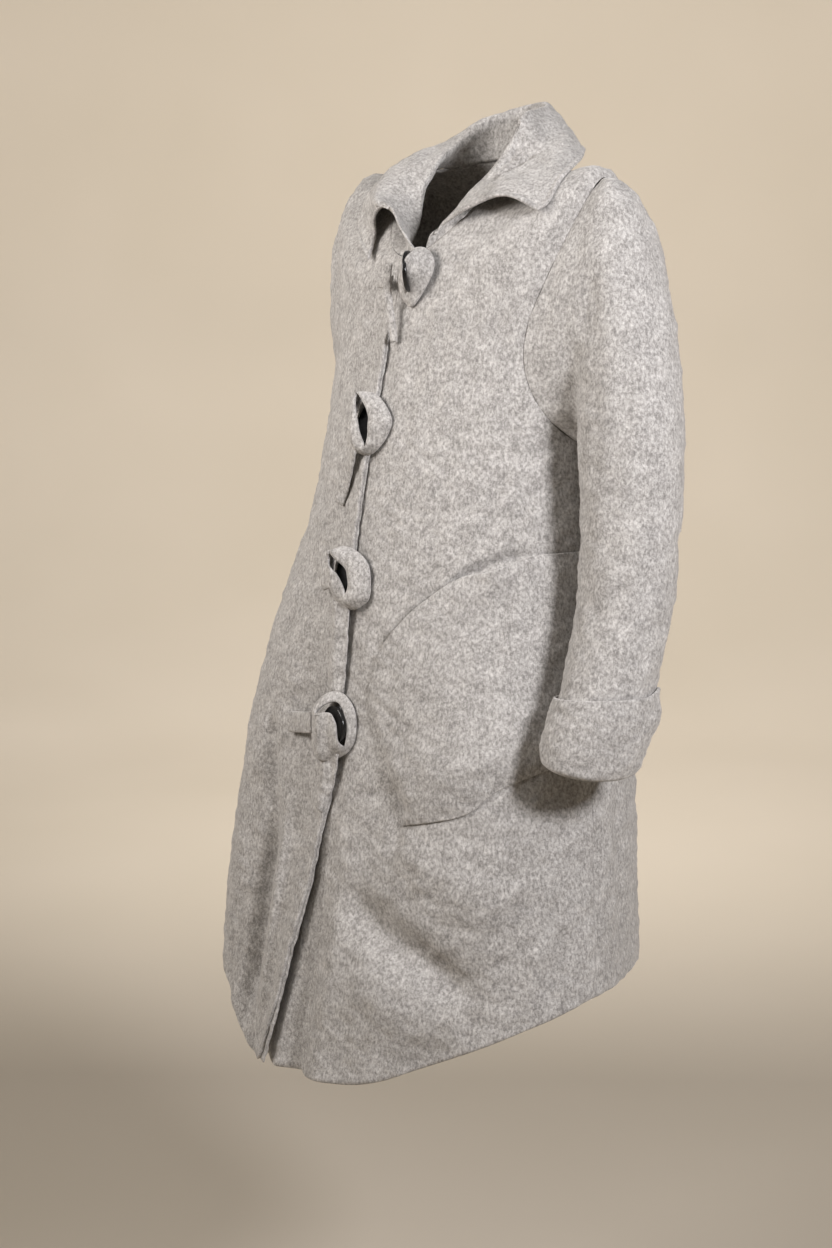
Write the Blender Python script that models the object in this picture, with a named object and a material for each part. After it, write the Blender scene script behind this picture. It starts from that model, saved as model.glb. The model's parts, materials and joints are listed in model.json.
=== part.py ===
"""Grey felted-wool A-line coat in its worn shape.

Metres, +Z up. The origin lies between the shoulders at the base of the neck,
the front faces -Y and the wearer's left side is +X.
"""

import math

import bpy
import numpy as np

# Cloth
WALL = 0.003  # thickness of the felted wool
SEAM = 0.0004  # clearance between two pieces sewn together
LAID = 0.0009  # clearance of a piece that lies on another

# Levels of the body, as row numbers of BODY_ROWS
UNDERARM = 5
SHOULDER = 7
NECK = 9

# Body rings from hem to neck
BODY_ROWS = np.array([
    # z_front, z_side, z_back, half_width, y_front, y_side, y_back
    (-0.968, -0.866, -0.852, 0.274, -0.268, -0.066, 0.130),
    (-0.815, -0.765, -0.750, 0.262, -0.235, -0.058, 0.134),
    (-0.650, -0.635, -0.630, 0.244, -0.205, -0.046, 0.138),
    (-0.500, -0.500, -0.500, 0.224, -0.187, -0.034, 0.138),
    (-0.380, -0.380, -0.380, 0.206, -0.170, -0.022, 0.132),
    (-0.285, -0.275, -0.290, 0.194, -0.152, -0.012, 0.124),
    (-0.195, -0.140, -0.170, 0.190, -0.132, -0.004, 0.117),
    (-0.125, 0.002, -0.050, 0.203, -0.116, 0.000, 0.104),
    (-0.100, 0.010, -0.012, 0.145, -0.110, 0.000, 0.088),
    (-0.080, 0.018, 0.030, 0.085, -0.104, 0.000, 0.066),
])
HEM_TILT = 0.018  # the hem rises towards the wearer's left side
SIDE_RISE = 1.5  # how fast a ring turns from its front height to its side height

# Soft folds: the angle from the centre front, positive to the wearer's left,
# and the levels where each fold begins, is deepest and ends
FOLDS = (
    # angle, spread, depth, low, full, high
    (-42.0, 38.0, 0.037, -1.4, 1.7, 4.5),
    (48.0, 34.0, 0.020, 0.3, 2.0, 3.4),
    (-17.0, 12.0, -0.010, -2.0, 0.0, 2.2),
    (24.0, 16.0, 0.008, -2.0, -0.5, 1.6),
    (46.0, 16.0, -0.008, -2.0, -0.5, 1.6),
    (78.0, 20.0, 0.008, -2.0, -0.5, 2.2),
    (-70.0, 20.0, -0.008, -2.0, -0.5, 2.0),
    (112.0, 22.0, -0.008, -2.0, -0.5, 2.6),
    (150.0, 22.0, 0.010, -2.0, -0.5, 3.0),
    (-150.0, 22.0, 0.010, -2.0, -0.5, 3.0),
    (180.0, 18.0, -0.010, -2.0, -0.5, 3.2),
)

# Front edges: distance from the centre line and how far each edge stands out
EDGE_ROWS = np.array([
    # level, x_right, x_left, out_right, out_left
    (0.00, -0.050, 0.0010, 0.012, -0.012),
    (0.35, -0.036, 0.0015, 0.010, -0.010),
    (0.75, -0.030, 0.0030, 0.008, -0.007),
    (1.25, -0.018, 0.0050, 0.005, -0.004),
    (1.90, -0.0015, 0.0010, 0.001, 0.000),
    (2.30, -0.0007, 0.0007, 0.000, 0.000),
    (9.00, -0.0007, 0.0007, 0.000, 0.000),
])
EDGE_REACH = 0.055  # width of the front edge that stands out
HEM_CORNER = 0.020  # radius of the front hem corners

# Armholes: half-width as an angle, and the fullness of their curve
ARMHOLE_ANGLE = 32.0
ARMHOLE_POWER = 0.6

# Rows and columns of the cloth grids
ROWS_SKIRT, ROWS_ARMHOLE, ROWS_YOKE = 12, 10, 3
FRONT_COLUMNS, BACK_COLUMNS = 14, 24
SLEEVE_ROWS = 18

# Sleeves from armhole to wrist, given for the wearer's left side
SLEEVE_LEFT = np.array([
    # under_x, under_z, top_x, top_z, y, front, back
    (0.1985, -0.266, 0.227, -0.004, -0.004, 0.068, 0.074),
    (0.204, -0.278, 0.252, -0.034, -0.006, 0.067, 0.072),
    (0.209, -0.302, 0.280, -0.100, -0.010, 0.063, 0.068),
    (0.213, -0.330, 0.304, -0.175, -0.015, 0.057, 0.063),
    (0.218, -0.368, 0.321, -0.252, -0.021, 0.051, 0.058),
    (0.224, -0.408, 0.331, -0.332, -0.030, 0.048, 0.055),
    (0.231, -0.450, 0.337, -0.408, -0.042, 0.047, 0.053),
    (0.237, -0.495, 0.339, -0.475, -0.058, 0.048, 0.052),
    (0.242, -0.540, 0.338, -0.530, -0.074, 0.049, 0.051),
    (0.246, -0.588, 0.337, -0.588, -0.088, 0.050, 0.050),
])
SLEEVE_RIGHT = np.array([
    # under_x, under_z, top_x, top_z, y, front, back
    (0.1985, -0.266, 0.216, -0.004, 0.000, 0.056, 0.064),
    (0.204, -0.278, 0.232, -0.034, 0.006, 0.051, 0.064),
    (0.206, -0.302, 0.247, -0.104, 0.016, 0.047, 0.061),
    (0.206, -0.330, 0.262, -0.184, 0.027, 0.045, 0.058),
    (0.207, -0.368, 0.276, -0.262, 0.033, 0.046, 0.054),
    (0.211, -0.408, 0.290, -0.340, 0.036, 0.047, 0.052),
    (0.219, -0.450, 0.302, -0.412, 0.035, 0.048, 0.051),
    (0.229, -0.495, 0.313, -0.478, 0.030, 0.049, 0.051),
    (0.238, -0.540, 0.322, -0.532, 0.024, 0.050, 0.051),
    (0.244, -0.588, 0.330, -0.588, 0.018, 0.050, 0.050),
])

# Turn-back cuffs, as parts of the sleeve length
CUFF_TOP = 0.865
CUFF_FLARE = 0.007
CUFF_ROWS = 5

# Collar stations from the left front end round the back to the right front end
COLLAR_ROWS = np.array([
    # angle, roll_x, roll_y, roll_z, crease_x, crease_y, crease_z, edge_x, edge_y, edge_z
    (6.0, 0.014, -0.1105, -0.070, 0.070, -0.069, -0.030, 0.152, -0.056, -0.030),
    (22.0, 0.036, -0.086, -0.034, 0.080, -0.058, -0.010, 0.158, -0.036, -0.008),
    (50.0, 0.075, -0.030, 0.045, 0.092, -0.030, 0.020, 0.156, -0.010, 0.014),
    (90.0, 0.070, 0.016, 0.066, 0.096, 0.010, 0.046, 0.138, 0.014, 0.034),
    (130.0, 0.044, 0.056, 0.080, 0.066, 0.058, 0.062, 0.092, 0.070, 0.040),
    (180.0, 0.000, 0.078, 0.086, 0.000, 0.098, 0.066, 0.000, 0.118, 0.036),
    (230.0, -0.050, 0.052, 0.074, -0.076, 0.058, 0.052, -0.104, 0.074, 0.032),
    (270.0, -0.076, 0.012, 0.054, -0.100, 0.010, 0.038, -0.134, 0.008, 0.022),
    (310.0, -0.074, -0.034, 0.026, -0.096, -0.036, 0.014, -0.126, -0.046, -0.006),
    (338.0, -0.036, -0.088, -0.032, -0.078, -0.068, -0.006, -0.096, -0.090, -0.046),
    (354.0, -0.014, -0.1105, -0.070, -0.066, -0.082, -0.024, -0.064, -0.112, -0.083),
])
COLLAR_COLUMNS, COLLAR_STEPS = 36, 10

# Patch pockets, as angle and level of their outline on the wearer's left
POCKET_TOP = ((15.2, 3.075), (24.8, 3.375), (37.0, 3.640), (50.0, 3.835), (63.8, 3.915), (88.5, 3.940))
POCKET_LEFT = ((26.3, 1.805), (19.9, 2.205), (15.3, 2.450), (11.5, 2.650), (12.6, 2.850), (15.2, 3.075))
POCKET_BOTTOM = ((26.3, 1.805), (36.0, 1.850), (46.0, 1.920), (55.0, 2.090), (72.0, 2.195), (88.5, 2.200))
POCKET_BULGE = 0.006  # fullness in the middle
POCKET_LIP = 0.007  # how far the mouth stands open
POCKET_SAG = 0.004  # fullness over the bottom seam
MOUTH = (0.42, 0.86)  # mouth as parts of the top edge
POCKET_COLUMNS, POCKET_ROWS = 14, 10

# Layers behind the front opening
OPENING_TOP = 6.65
FACING_WIDTH = 0.030
UNDERLAP_RIGHT = 0.034
UNDERLAP_LEFT = 0.034
OPENING_ROWS = 20

# Closures: slit wool tab, black disc, hanging tail and short stub
TAB_LEFT, TAB_RIGHT = 0.015, 0.034
TAB_HALF_HEIGHT = 0.0335
TAB_WALL = 0.0025
TAB_STAND = 0.018
LIP_STEP = 0.0034  # the left lip lies over the button and the right lip under it
SLIT_HALF_WIDTH, SLIT_HALF_HEIGHT = 0.0065, 0.0268
SLIT_X = 0.003
LEFT_DROP, END_DROP = 0.005, 0.004  # how far the rim comes down at the left, top and bottom
RIGHT_DROP = TAB_STAND - LIP_STEP - TAB_WALL - 0.0006  # at the right it meets the coat
TAB_STEPS = 24
BUTTON_RADIUS, BUTTON_THICK = 0.022, 0.0045
BUTTON_STAND = TAB_STAND - TAB_WALL / 2
BUTTON_ROUND = 0.0012
TAIL_WIDTH, STUB_WIDTH = 0.020, 0.015
CLOSURES = (
    # level, x, tail_x, tail_length, stub_length, button_tilt
    (7.70, 0.012, -0.006, 0.040, 0.026, 38.0),
    (5.32, 0.003, -0.026, 0.055, 0.026, 36.0),
    (3.60, 0.003, -0.006, 0.075, 0.026, 30.0),
    (2.415, 0.001, -0.008, 0.055, 0.034, 26.0),
)

# Colours
WOOL_GREY = (0.43, 0.40, 0.38, 1.0)
BUTTON_BLACK = (0.01, 0.01, 0.011, 1.0)


def spline(rows, at):
    """Smooth curve through the rows of a table, read at row numbers 'at'."""
    rows = np.asarray(rows, float)
    at = np.clip(np.asarray(at, float), 0.0, len(rows) - 1.0)
    low = np.minimum(at.astype(int), len(rows) - 2)
    part = (at - low)[..., None]
    slope = np.gradient(rows, axis=0)
    a, b = rows[low], rows[low + 1]
    p, q = slope[low], slope[low + 1]
    s2, s3 = part**2, part**3
    return (2 * s3 - 3 * s2 + 1) * a + (s3 - 2 * s2 + part) * p + (3 * s2 - 2 * s3) * b + (s3 - s2) * q


def smooth(x):
    x = np.clip(x, 0.0, 1.0)
    return x * x * (3 - 2 * x)


def unit(v):
    return v / np.maximum(np.linalg.norm(v, axis=-1, keepdims=True), 1e-12)


def fold_depth(angle, level):
    """How far the soft folds push the cloth out at an angle and level."""
    total = np.zeros(np.broadcast(angle, level).shape)
    for at, spread, depth, low, full, high in FOLDS:
        off = np.abs((angle - at + 180.0) % 360.0 - 180.0)
        across = np.where(off < spread, 0.5 + 0.5 * np.cos(np.pi * off / spread), 0.0)
        along = smooth((level - low) / (full - low)) * smooth((high - level) / (high - full))
        total = total + depth * across * along
    return total


def edge_columns(level):
    """x_right, x_left, out_right and out_left of the front edges at a level."""
    return [np.interp(level, EDGE_ROWS[:, 0], EDGE_ROWS[:, k]) for k in range(1, 5)]


def body(angle, level, side=0):
    """Point of the coat body; side +1 or -1 adds the stand of that front's edge."""
    angle, level = np.broadcast_arrays(np.asarray(angle, float), np.asarray(level, float))
    row = spline(BODY_ROWS, level)
    sine, cosine = np.sin(np.radians(angle)), np.cos(np.radians(angle))
    ahead = cosine > 0
    x = row[..., 3] * sine
    y = row[..., 5] - cosine * np.where(ahead, row[..., 5] - row[..., 4], row[..., 6] - row[..., 5])
    z = row[..., 1] + np.abs(cosine) ** SIDE_RISE * (np.where(ahead, row[..., 0], row[..., 2]) - row[..., 1])
    z = z + HEM_TILT * sine * smooth(1 - level / 3)
    out = fold_depth(angle, level)
    if side:
        right, left, out_right, out_left = edge_columns(level)
        off = x - left if side > 0 else right - x
        stand = out_left if side > 0 else out_right
        out = out + stand * (1 - smooth(off / EDGE_REACH))
    return np.stack([x + out * sine, y - out * cosine, z], axis=-1)


def body_normal(angle, level, side=0):
    """Outward normal of the body cloth."""
    level = np.asarray(level, float)
    da, dl = 0.2, 0.01
    high, low = np.minimum(level + dl, NECK), np.maximum(level - dl, 0)
    around = body(angle + da, level, side) - body(angle - da, level, side)
    along = body(angle, high, side) - body(angle, low, side)
    return unit(np.cross(around, along))


def armhole(level, back=False):
    """Half-width of the armhole at a level, as an angle."""
    part = np.clip((np.asarray(level, float) - UNDERARM) / (SHOULDER - UNDERARM), 0, 1)
    wide = ARMHOLE_ANGLE * (0.86 if back else 1.0)
    return wide * np.sin(np.pi * part) ** ARMHOLE_POWER * (1.12 - 0.24 * part)


def seam_angle(level):
    """Half the seam clearance as an angle on the body."""
    return math.degrees(0.5 * SEAM / 0.17) * np.ones_like(np.asarray(level, float))


def armhole_levels():
    """Levels up the armhole, closer together at its two ends."""
    part = 0.5 - 0.5 * np.cos(np.pi * np.arange(ROWS_ARMHOLE + 1) / ROWS_ARMHOLE)
    return UNDERARM + (SHOULDER - UNDERARM) * part


def levels():
    """Levels of the body grid rows from hem to neck."""
    skirt = np.linspace(0, UNDERARM, ROWS_SKIRT + 1)
    arm = armhole_levels()
    yoke = np.linspace(SHOULDER, NECK, ROWS_YOKE + 1)
    return np.concatenate([skirt, arm[1:], yoke[1:]])


def wool_material(name, colour, roughness):
    material = bpy.data.materials.new(name)
    material.use_nodes = True
    shader = material.node_tree.nodes["Principled BSDF"]
    shader.inputs["Base Color"].default_value = colour
    shader.inputs["Roughness"].default_value = roughness
    return material


def add_node(name, points, faces, colour=WOOL_GREY, roughness=0.95):
    """A closed mesh as one node, with its faces turned outwards."""
    points = np.asarray(points, float)
    volume = 0.0
    for face in faces:
        a = points[face[0]]
        for k in range(1, len(face) - 1):
            volume += np.dot(a, np.cross(points[face[k]], points[face[k + 1]]))
    if volume < 0:
        faces = [tuple(reversed(face)) for face in faces]
    mesh = bpy.data.meshes.new(name)
    mesh.from_pydata(points.tolist(), [], [tuple(face) for face in faces])
    mesh.update()
    mesh.materials.append(wool_material(name, colour, roughness))
    node = bpy.data.objects.new(name, mesh)
    PART.objects.link(node)
    return node


def add_wall(name, outer, inner, closed=False, **looks):
    """Cloth between two grids of points with equal rows and columns."""
    rows, columns = outer.shape[:2]
    count = rows * columns
    points = np.concatenate([outer.reshape(-1, 3), inner.reshape(-1, 3)])

    def at(r, c, layer):
        return layer * count + r * columns + c % columns

    faces = []
    steps = columns if closed else columns - 1
    for r in range(rows - 1):
        for c in range(steps):
            faces.append((at(r, c, 0), at(r, c + 1, 0), at(r + 1, c + 1, 0), at(r + 1, c, 0)))
            faces.append((at(r, c, 1), at(r + 1, c, 1), at(r + 1, c + 1, 1), at(r, c + 1, 1)))
    for c in range(steps):
        faces.append((at(0, c, 0), at(0, c, 1), at(0, c + 1, 1), at(0, c + 1, 0)))
        last = rows - 1
        faces.append((at(last, c, 0), at(last, c + 1, 0), at(last, c + 1, 1), at(last, c, 1)))
    if not closed:
        for r in range(rows - 1):
            last = columns - 1
            faces.append((at(r, 0, 0), at(r + 1, 0, 0), at(r + 1, 0, 1), at(r, 0, 1)))
            faces.append((at(r, last, 0), at(r, last, 1), at(r + 1, last, 1), at(r + 1, last, 0)))
    return add_node(name, points, faces, **looks)


def grid_normals(grid, closed=False):
    """Normals of a grid of points, rows by columns."""
    if closed:
        across = np.roll(grid, -1, axis=1) - np.roll(grid, 1, axis=1)
    else:
        across = np.gradient(grid, axis=1)
    return unit(np.cross(across, np.gradient(grid, axis=0)))


def eased(normals, first, closed=False):
    """Normals averaged with their neighbours, the first row given."""
    for _ in range(4):
        normals[0] = first
        padded = np.pad(normals, ((1, 1), (1, 1), (0, 0)), mode="edge")
        if closed:
            padded[:, 0], padded[:, -1] = padded[:, -2].copy(), padded[:, 1].copy()
        normals = unit(
            2 * padded[1:-1, 1:-1] + padded[:-2, 1:-1] + padded[2:, 1:-1] + padded[1:-1, :-2] + padded[1:-1, 2:]
        )
    normals[0] = first
    return normals


def front_panel(side):
    """Grid of angles and levels of one front, from its edge to the side seam."""
    rows = levels()
    right, left = edge_columns(rows)[:2]
    width = spline(BODY_ROWS, rows)[:, 3]
    edge = np.degrees(np.arcsin(np.abs(left if side > 0 else right) / width))
    if side < 0:
        edge = np.degrees(np.arcsin(right / width)) * -1
    stop = 90.0 - armhole(rows) - seam_angle(rows)
    part = np.linspace(0, 1, FRONT_COLUMNS + 1) ** 1.25
    angle = edge[:, None] + (stop - edge)[:, None] * part[None, :]
    level = np.repeat(rows[:, None], FRONT_COLUMNS + 1, axis=1)
    off = (angle[0] - angle[0, 0]) * math.radians(1) * width[0]
    reach = np.clip(1 - off / HEM_CORNER, 0, 1)
    lift = HEM_CORNER * (1 - np.sqrt(1 - reach**2)) / 0.13
    level = level + lift[None, :] * np.clip(1 - level / 1.5, 0, 1)
    return side * angle, level


def add_front(name, side):
    angle, level = front_panel(side)
    outer = body(angle, level, side)
    inner = outer - WALL * body_normal(angle, level, side)
    add_wall(name, outer, inner)


def add_back():
    rows = levels()
    start = 90.0 + armhole(rows, back=True) + seam_angle(rows)
    part = np.linspace(0, 1, BACK_COLUMNS + 1)
    angle = start[:, None] + (360.0 - 2 * start)[:, None] * part[None, :]
    level = np.repeat(rows[:, None], BACK_COLUMNS + 1, axis=1)
    outer = body(angle, level)
    add_wall("back", outer, outer - WALL * body_normal(angle, level))


def armhole_loop(side):
    """Points and normals of an armhole, up its front and down its back."""
    rows = armhole_levels()
    front = 90.0 - armhole(rows)
    behind = 90.0 + armhole(rows, back=True)
    angle = side * np.concatenate([front, behind[-2:0:-1]])
    level = np.concatenate([rows, rows[-2:0:-1]])
    return body(angle, level), body_normal(angle, level)


def sleeve_rings(table, side, at):
    """Sleeve rings at row numbers 'at', each starting under the arm and going up its front."""
    row = spline(table, at)
    turn = 2 * np.pi * np.arange(2 * ROWS_ARMHOLE) / (2 * ROWS_ARMHOLE)
    under = np.stack([side * row[:, 0], row[:, 4], row[:, 1]], axis=-1)
    top = np.stack([side * row[:, 2], row[:, 4], row[:, 3]], axis=-1)
    middle = 0.5 * (under + top)
    reach = -np.cos(turn)
    depth = np.where(np.sin(turn) > 0, -np.sin(turn)[None, :] * row[:, 5:6], -np.sin(turn)[None, :] * row[:, 6:7])
    ring = middle[:, None, :] + reach[None, :, None] * 0.5 * (top - under)[:, None, :]
    ring[..., 1] += depth
    return ring


def sleeve_surface(table, side, at):
    """Sleeve points and outward normals, the first ring sewn to the armhole."""
    rings = sleeve_rings(table, side, np.asarray(at))
    normals = -side * grid_normals(rings, closed=True)
    return rings, normals


def add_sleeve(name, table, side):
    rings = sleeve_rings(table, side, np.arange(len(table)))
    loop, out = armhole_loop(side)
    inward = loop.mean(axis=0) - loop
    inward = unit(inward - np.sum(inward * out, axis=-1, keepdims=True) * out)
    guides = np.concatenate([(loop + 2.0 * SEAM * inward)[None], rings])
    at = np.concatenate([[0, 0.33, 0.67], np.linspace(1, len(table), SLEEVE_ROWS - 2)])
    grid = spline(guides.reshape(len(guides), -1), at).reshape(len(at), -1, 3)
    normals = -side * grid_normals(grid, closed=True)
    lean = np.maximum(np.sum(normals[0] * inward, axis=-1, keepdims=True), 0)
    normals = eased(normals, unit(normals[0] - lean * inward), closed=True)
    add_wall(name, grid, grid - WALL * normals, closed=True)


def add_cuff(name, table, side):
    last = len(table) - 1
    at = np.linspace(CUFF_TOP * last, last, CUFF_ROWS + 1)
    rings, normals = sleeve_surface(table, side, at)
    part = np.linspace(1, 0, CUFF_ROWS + 1)
    flare = (LAID + CUFF_FLARE * part**2 + 0.002 * np.sin(np.pi * part))[:, None, None]
    rings[..., 2] -= (0.004 * (1 - part))[:, None]
    lining = rings + flare * normals
    add_wall(name, lining + WALL * normals, lining, closed=True)


def collar_grid():
    """Collar cloth from the neck seam over the roll to its edge, on the side towards the body."""
    stations = np.linspace(0, len(COLLAR_ROWS) - 1, COLLAR_COLUMNS + 1)
    row = spline(COLLAR_ROWS, stations)
    base = body(row[:, 0], NECK)
    out = body_normal(row[:, 0], NECK)
    away = unit(body(row[:, 0], NECK) - body(row[:, 0], NECK - 0.05))
    base = base + 2.0 * SEAM * away
    guides = np.stack([base, row[:, 1:4], row[:, 4:7], row[:, 7:10]])
    steps = np.linspace(0, 3, COLLAR_STEPS + 1)
    return spline(guides.reshape(4, -1), steps).reshape(COLLAR_STEPS + 1, -1, 3), out


def add_collar():
    grid, out = collar_grid()
    normals = grid_normals(grid)
    if np.sum(normals[0] * out) < 0:
        normals = -normals
    add_wall("collar", grid, grid - WALL * eased(normals, out))


def along_outline(outline, count):
    """Even points along a short outline."""
    return spline(np.array(outline), np.linspace(0, len(outline) - 1, count))


def patch(bottom, top, left, columns, rows):
    """Grid of angles and levels between three outlines and the straight side seam."""
    low, high = along_outline(bottom, columns + 1), along_outline(top, columns + 1)
    start = along_outline(left, rows + 1)
    stop = np.linspace(low[-1], high[-1], rows + 1)
    u, v = np.linspace(0, 1, columns + 1)[None, :, None], np.linspace(0, 1, rows + 1)[:, None, None]
    ruled = (1 - v) * low[None] + v * high[None] + (1 - u) * start[:, None] + u * stop[:, None]
    corners = (1 - u) * (1 - v) * low[0] + u * (1 - v) * low[-1] + (1 - u) * v * high[0] + u * v * high[-1]
    return ruled - corners, u[..., 0], v[..., 0]


def add_pocket(name, side, lip):
    grid, u, v = patch(POCKET_BOTTOM, POCKET_TOP, POCKET_LEFT, POCKET_COLUMNS, POCKET_ROWS)
    angle, level = side * grid[..., 0], grid[..., 1]
    full = np.sin(np.pi * u) * np.sin(np.pi * v)
    mouth = np.sin(np.pi * np.clip((u - MOUTH[0]) / (MOUTH[1] - MOUTH[0]), 0, 1)) ** 2
    lift = LAID + POCKET_BULGE * full + lip * mouth * smooth((v - 0.6) / 0.4)
    lift = lift + POCKET_SAG * np.sin(np.pi * np.clip(v / 0.3, 0, 1)) * smooth(u / 0.1) * smooth((1 - u) / 0.3)
    normal = body_normal(angle, level, side)
    under = body(angle, level, side) + lift[..., None] * normal
    add_wall(name, under + WALL * normal, under)


def opening_levels():
    return np.linspace(0.02, OPENING_TOP, OPENING_ROWS + 1)


def add_facing():
    """Second layer inside the right front's edge."""
    rows = opening_levels()
    right = edge_columns(rows)[0]
    width = spline(BODY_ROWS, rows)[:, 3]
    x = right[:, None] - np.linspace(0, FACING_WIDTH, 4)[None, :]
    angle = np.degrees(np.arcsin(x / width[:, None]))
    level = np.repeat(rows[:, None], 4, axis=1)
    normal = body_normal(angle, level, -1)
    outer = body(angle, level, -1) - (WALL + LAID) * normal
    add_wall("facing_right", outer, outer - WALL * normal)


def add_underlap():
    """Strip behind both front edges, sewn to the right front."""
    rows = opening_levels()
    right, left = edge_columns(rows)[:2]
    width = spline(BODY_ROWS, rows)[:, 3]
    part = np.linspace(0, 1, 11)
    start, stop = right - UNDERLAP_RIGHT, left + UNDERLAP_LEFT
    x = start[:, None] + (stop - start)[:, None] * part[None, :]
    angle = np.degrees(np.arcsin(x / width[:, None]))
    level = np.repeat(rows[:, None], len(part), axis=1)
    behind_right = body(angle, level, -1) - (2 * WALL + 2 * LAID) * body_normal(angle, level, -1)
    behind_left = body(angle, level, 1) - (WALL + LAID) * body_normal(angle, level, 1)
    blend = smooth((x - right[:, None]) / np.maximum(left - right, 0.016)[:, None])[..., None]
    outer = behind_right * (1 - blend) + behind_left * blend
    normal = grid_normals(outer)
    add_wall("underlap", outer, outer - WALL * normal)


def closure_frame(level):
    """Point on the centre front with its right, up and outward directions."""
    origin = body(0.0, level)
    out = body_normal(0.0, level)
    right = np.array([1.0, 0.0, 0.0])
    return origin, np.stack([right, np.cross(out, right), out])


def placed(local, frame):
    """Local right, up and out as world points."""
    origin, axes = frame
    return origin + np.asarray(local) @ axes


def on_coat(local, frame, level):
    """Local points with their height measured from the coat's own surface."""
    local = np.asarray(local)
    rows = np.linspace(0, NECK, 181)
    steps = np.linalg.norm(np.diff(body(np.zeros(181), rows), axis=0), axis=1)
    length = np.concatenate([[0.0], np.cumsum(steps)])
    along = np.interp(level, rows, length) + local[..., 1]
    levels_at = np.interp(along, length, rows)
    width = spline(BODY_ROWS, levels_at)[..., 3]
    angle = np.degrees(np.arcsin(local[..., 0] / width))
    side = np.where(local[..., 0] < 0, -1, 1)
    ground = np.where((side > 0)[..., None], body(angle, levels_at, 1), body(angle, levels_at, -1))
    above = np.maximum(along - length[-1], 0.0)[..., None] * frame[1][1]
    return ground + above + local[..., 2:3] * frame[1][2]


def add_tab(name, frame, level, x):
    """Wool loop round a slit, dished down to the coat at its ends."""
    turn = 2 * np.pi * np.arange(TAB_STEPS) / TAB_STEPS
    c, s = np.cos(turn), np.sin(turn)
    reach = np.where(c > 0, TAB_RIGHT, TAB_LEFT)
    rows = []
    for part in (0.0, 0.35, 0.7, 1.0):
        across = SLIT_X + c * ((1 - part) * SLIT_HALF_WIDTH + part * reach)
        along = s * ((1 - part) * SLIT_HALF_HEIGHT + part * TAB_HALF_HEIGHT)
        drop = np.where(c > 0, RIGHT_DROP, LEFT_DROP) * c**2 + END_DROP * s**2
        stand = TAB_STAND - LIP_STEP * c - drop * part**2
        rows.append(np.stack([x + across, along, stand], axis=-1))
    face = np.array(rows)
    back = face - np.array([0, 0, TAB_WALL])
    add_wall(name, on_coat(face, frame, level), on_coat(back, frame, level), closed=True)


def add_button(name, frame, x, tilt):
    """Disc with rounded rims, standing tilted in the slit."""
    half = BUTTON_THICK / 2
    turn = 2 * np.pi * np.arange(TAB_STEPS) / TAB_STEPS
    profile = (
        (BUTTON_RADIUS - BUTTON_ROUND, -half),
        (BUTTON_RADIUS, -half + BUTTON_ROUND),
        (BUTTON_RADIUS, half - BUTTON_ROUND),
        (BUTTON_RADIUS - BUTTON_ROUND, half),
    )
    tilt = math.radians(tilt)
    across = np.array([math.cos(tilt), 0.0, math.sin(tilt)])
    axle = np.array([-math.sin(tilt), 0.0, math.cos(tilt)])
    centre = np.array([x + SLIT_X, 0.0, BUTTON_STAND])
    points = []
    for radius, height in profile:
        ring = np.cos(turn)[:, None] * across + np.sin(turn)[:, None] * np.array([0.0, 1.0, 0.0])
        points.append(centre + radius * ring + height * axle)
    points = placed(np.concatenate(points), frame)
    faces = [tuple(range(TAB_STEPS - 1, -1, -1)), tuple(range(3 * TAB_STEPS, 4 * TAB_STEPS))]
    for k in range(3):
        for i in range(TAB_STEPS):
            j = (i + 1) % TAB_STEPS
            a, b = k * TAB_STEPS, (k + 1) * TAB_STEPS
            faces.append((a + i, a + j, b + j, b + i))
    add_node(name, points, faces, colour=BUTTON_BLACK, roughness=0.15)


def add_strip(name, frame, level, line, across, width):
    """Flat wool strip along a line of local points."""
    line = np.array(line)
    side = np.array(across) * width / 2
    face = np.stack([line - side, line, line + side], axis=1)
    add_wall(name, on_coat(face + [0, 0, TAB_WALL], frame, level), on_coat(face, frame, level))


def add_closure(number, level, x, tail_x, tail_length, stub_length, button_tilt):
    frame = closure_frame(level)
    add_tab(f"tab_{number}", frame, level, x)
    add_button(f"button_{number}", frame, x, button_tilt)
    part = np.linspace(0, 1, 6)
    down = TAB_HALF_HEIGHT + SEAM + tail_length * part
    hang = (TAB_STAND - END_DROP - TAB_WALL) * (1 - part) ** 1.5 + 0.002
    tail = np.stack([x + SLIT_X - 0.003 + tail_x * part, -down, hang], axis=-1)
    add_strip(f"tail_{number}", frame, level, tail, (1.0, 0.0, 0.0), TAIL_WIDTH)
    part = np.linspace(0, 1, 5)
    start = x + SLIT_X - TAB_LEFT - SEAM
    rise = (TAB_STAND + LIP_STEP - LEFT_DROP - TAB_WALL) * (1 - smooth(part)) + LAID
    stub = np.stack([start - stub_length * part, 0 * part, rise], axis=-1)
    add_strip(f"stub_{number}", frame, level, stub, (0.0, 1.0, 0.0), STUB_WIDTH)


def clear_scene():
    for item in list(bpy.data.objects):
        bpy.data.objects.remove(item, do_unlink=True)


clear_scene()
PART = bpy.data.collections.new("wool_coat")
bpy.context.scene.collection.children.link(PART)

add_front("front_left", 1)
add_front("front_right", -1)
add_back()
add_sleeve("sleeve_left", SLEEVE_LEFT, 1)
add_sleeve("sleeve_right", SLEEVE_RIGHT, -1)
add_cuff("cuff_left", SLEEVE_LEFT, 1)
add_cuff("cuff_right", SLEEVE_RIGHT, -1)
add_collar()
add_pocket("pocket_left", 1, POCKET_LIP)
add_pocket("pocket_right", -1, POCKET_LIP / 4)
add_facing()
add_underlap()
for number, closure in enumerate(CLOSURES, start=1):
    add_closure(number, *closure)
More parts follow.
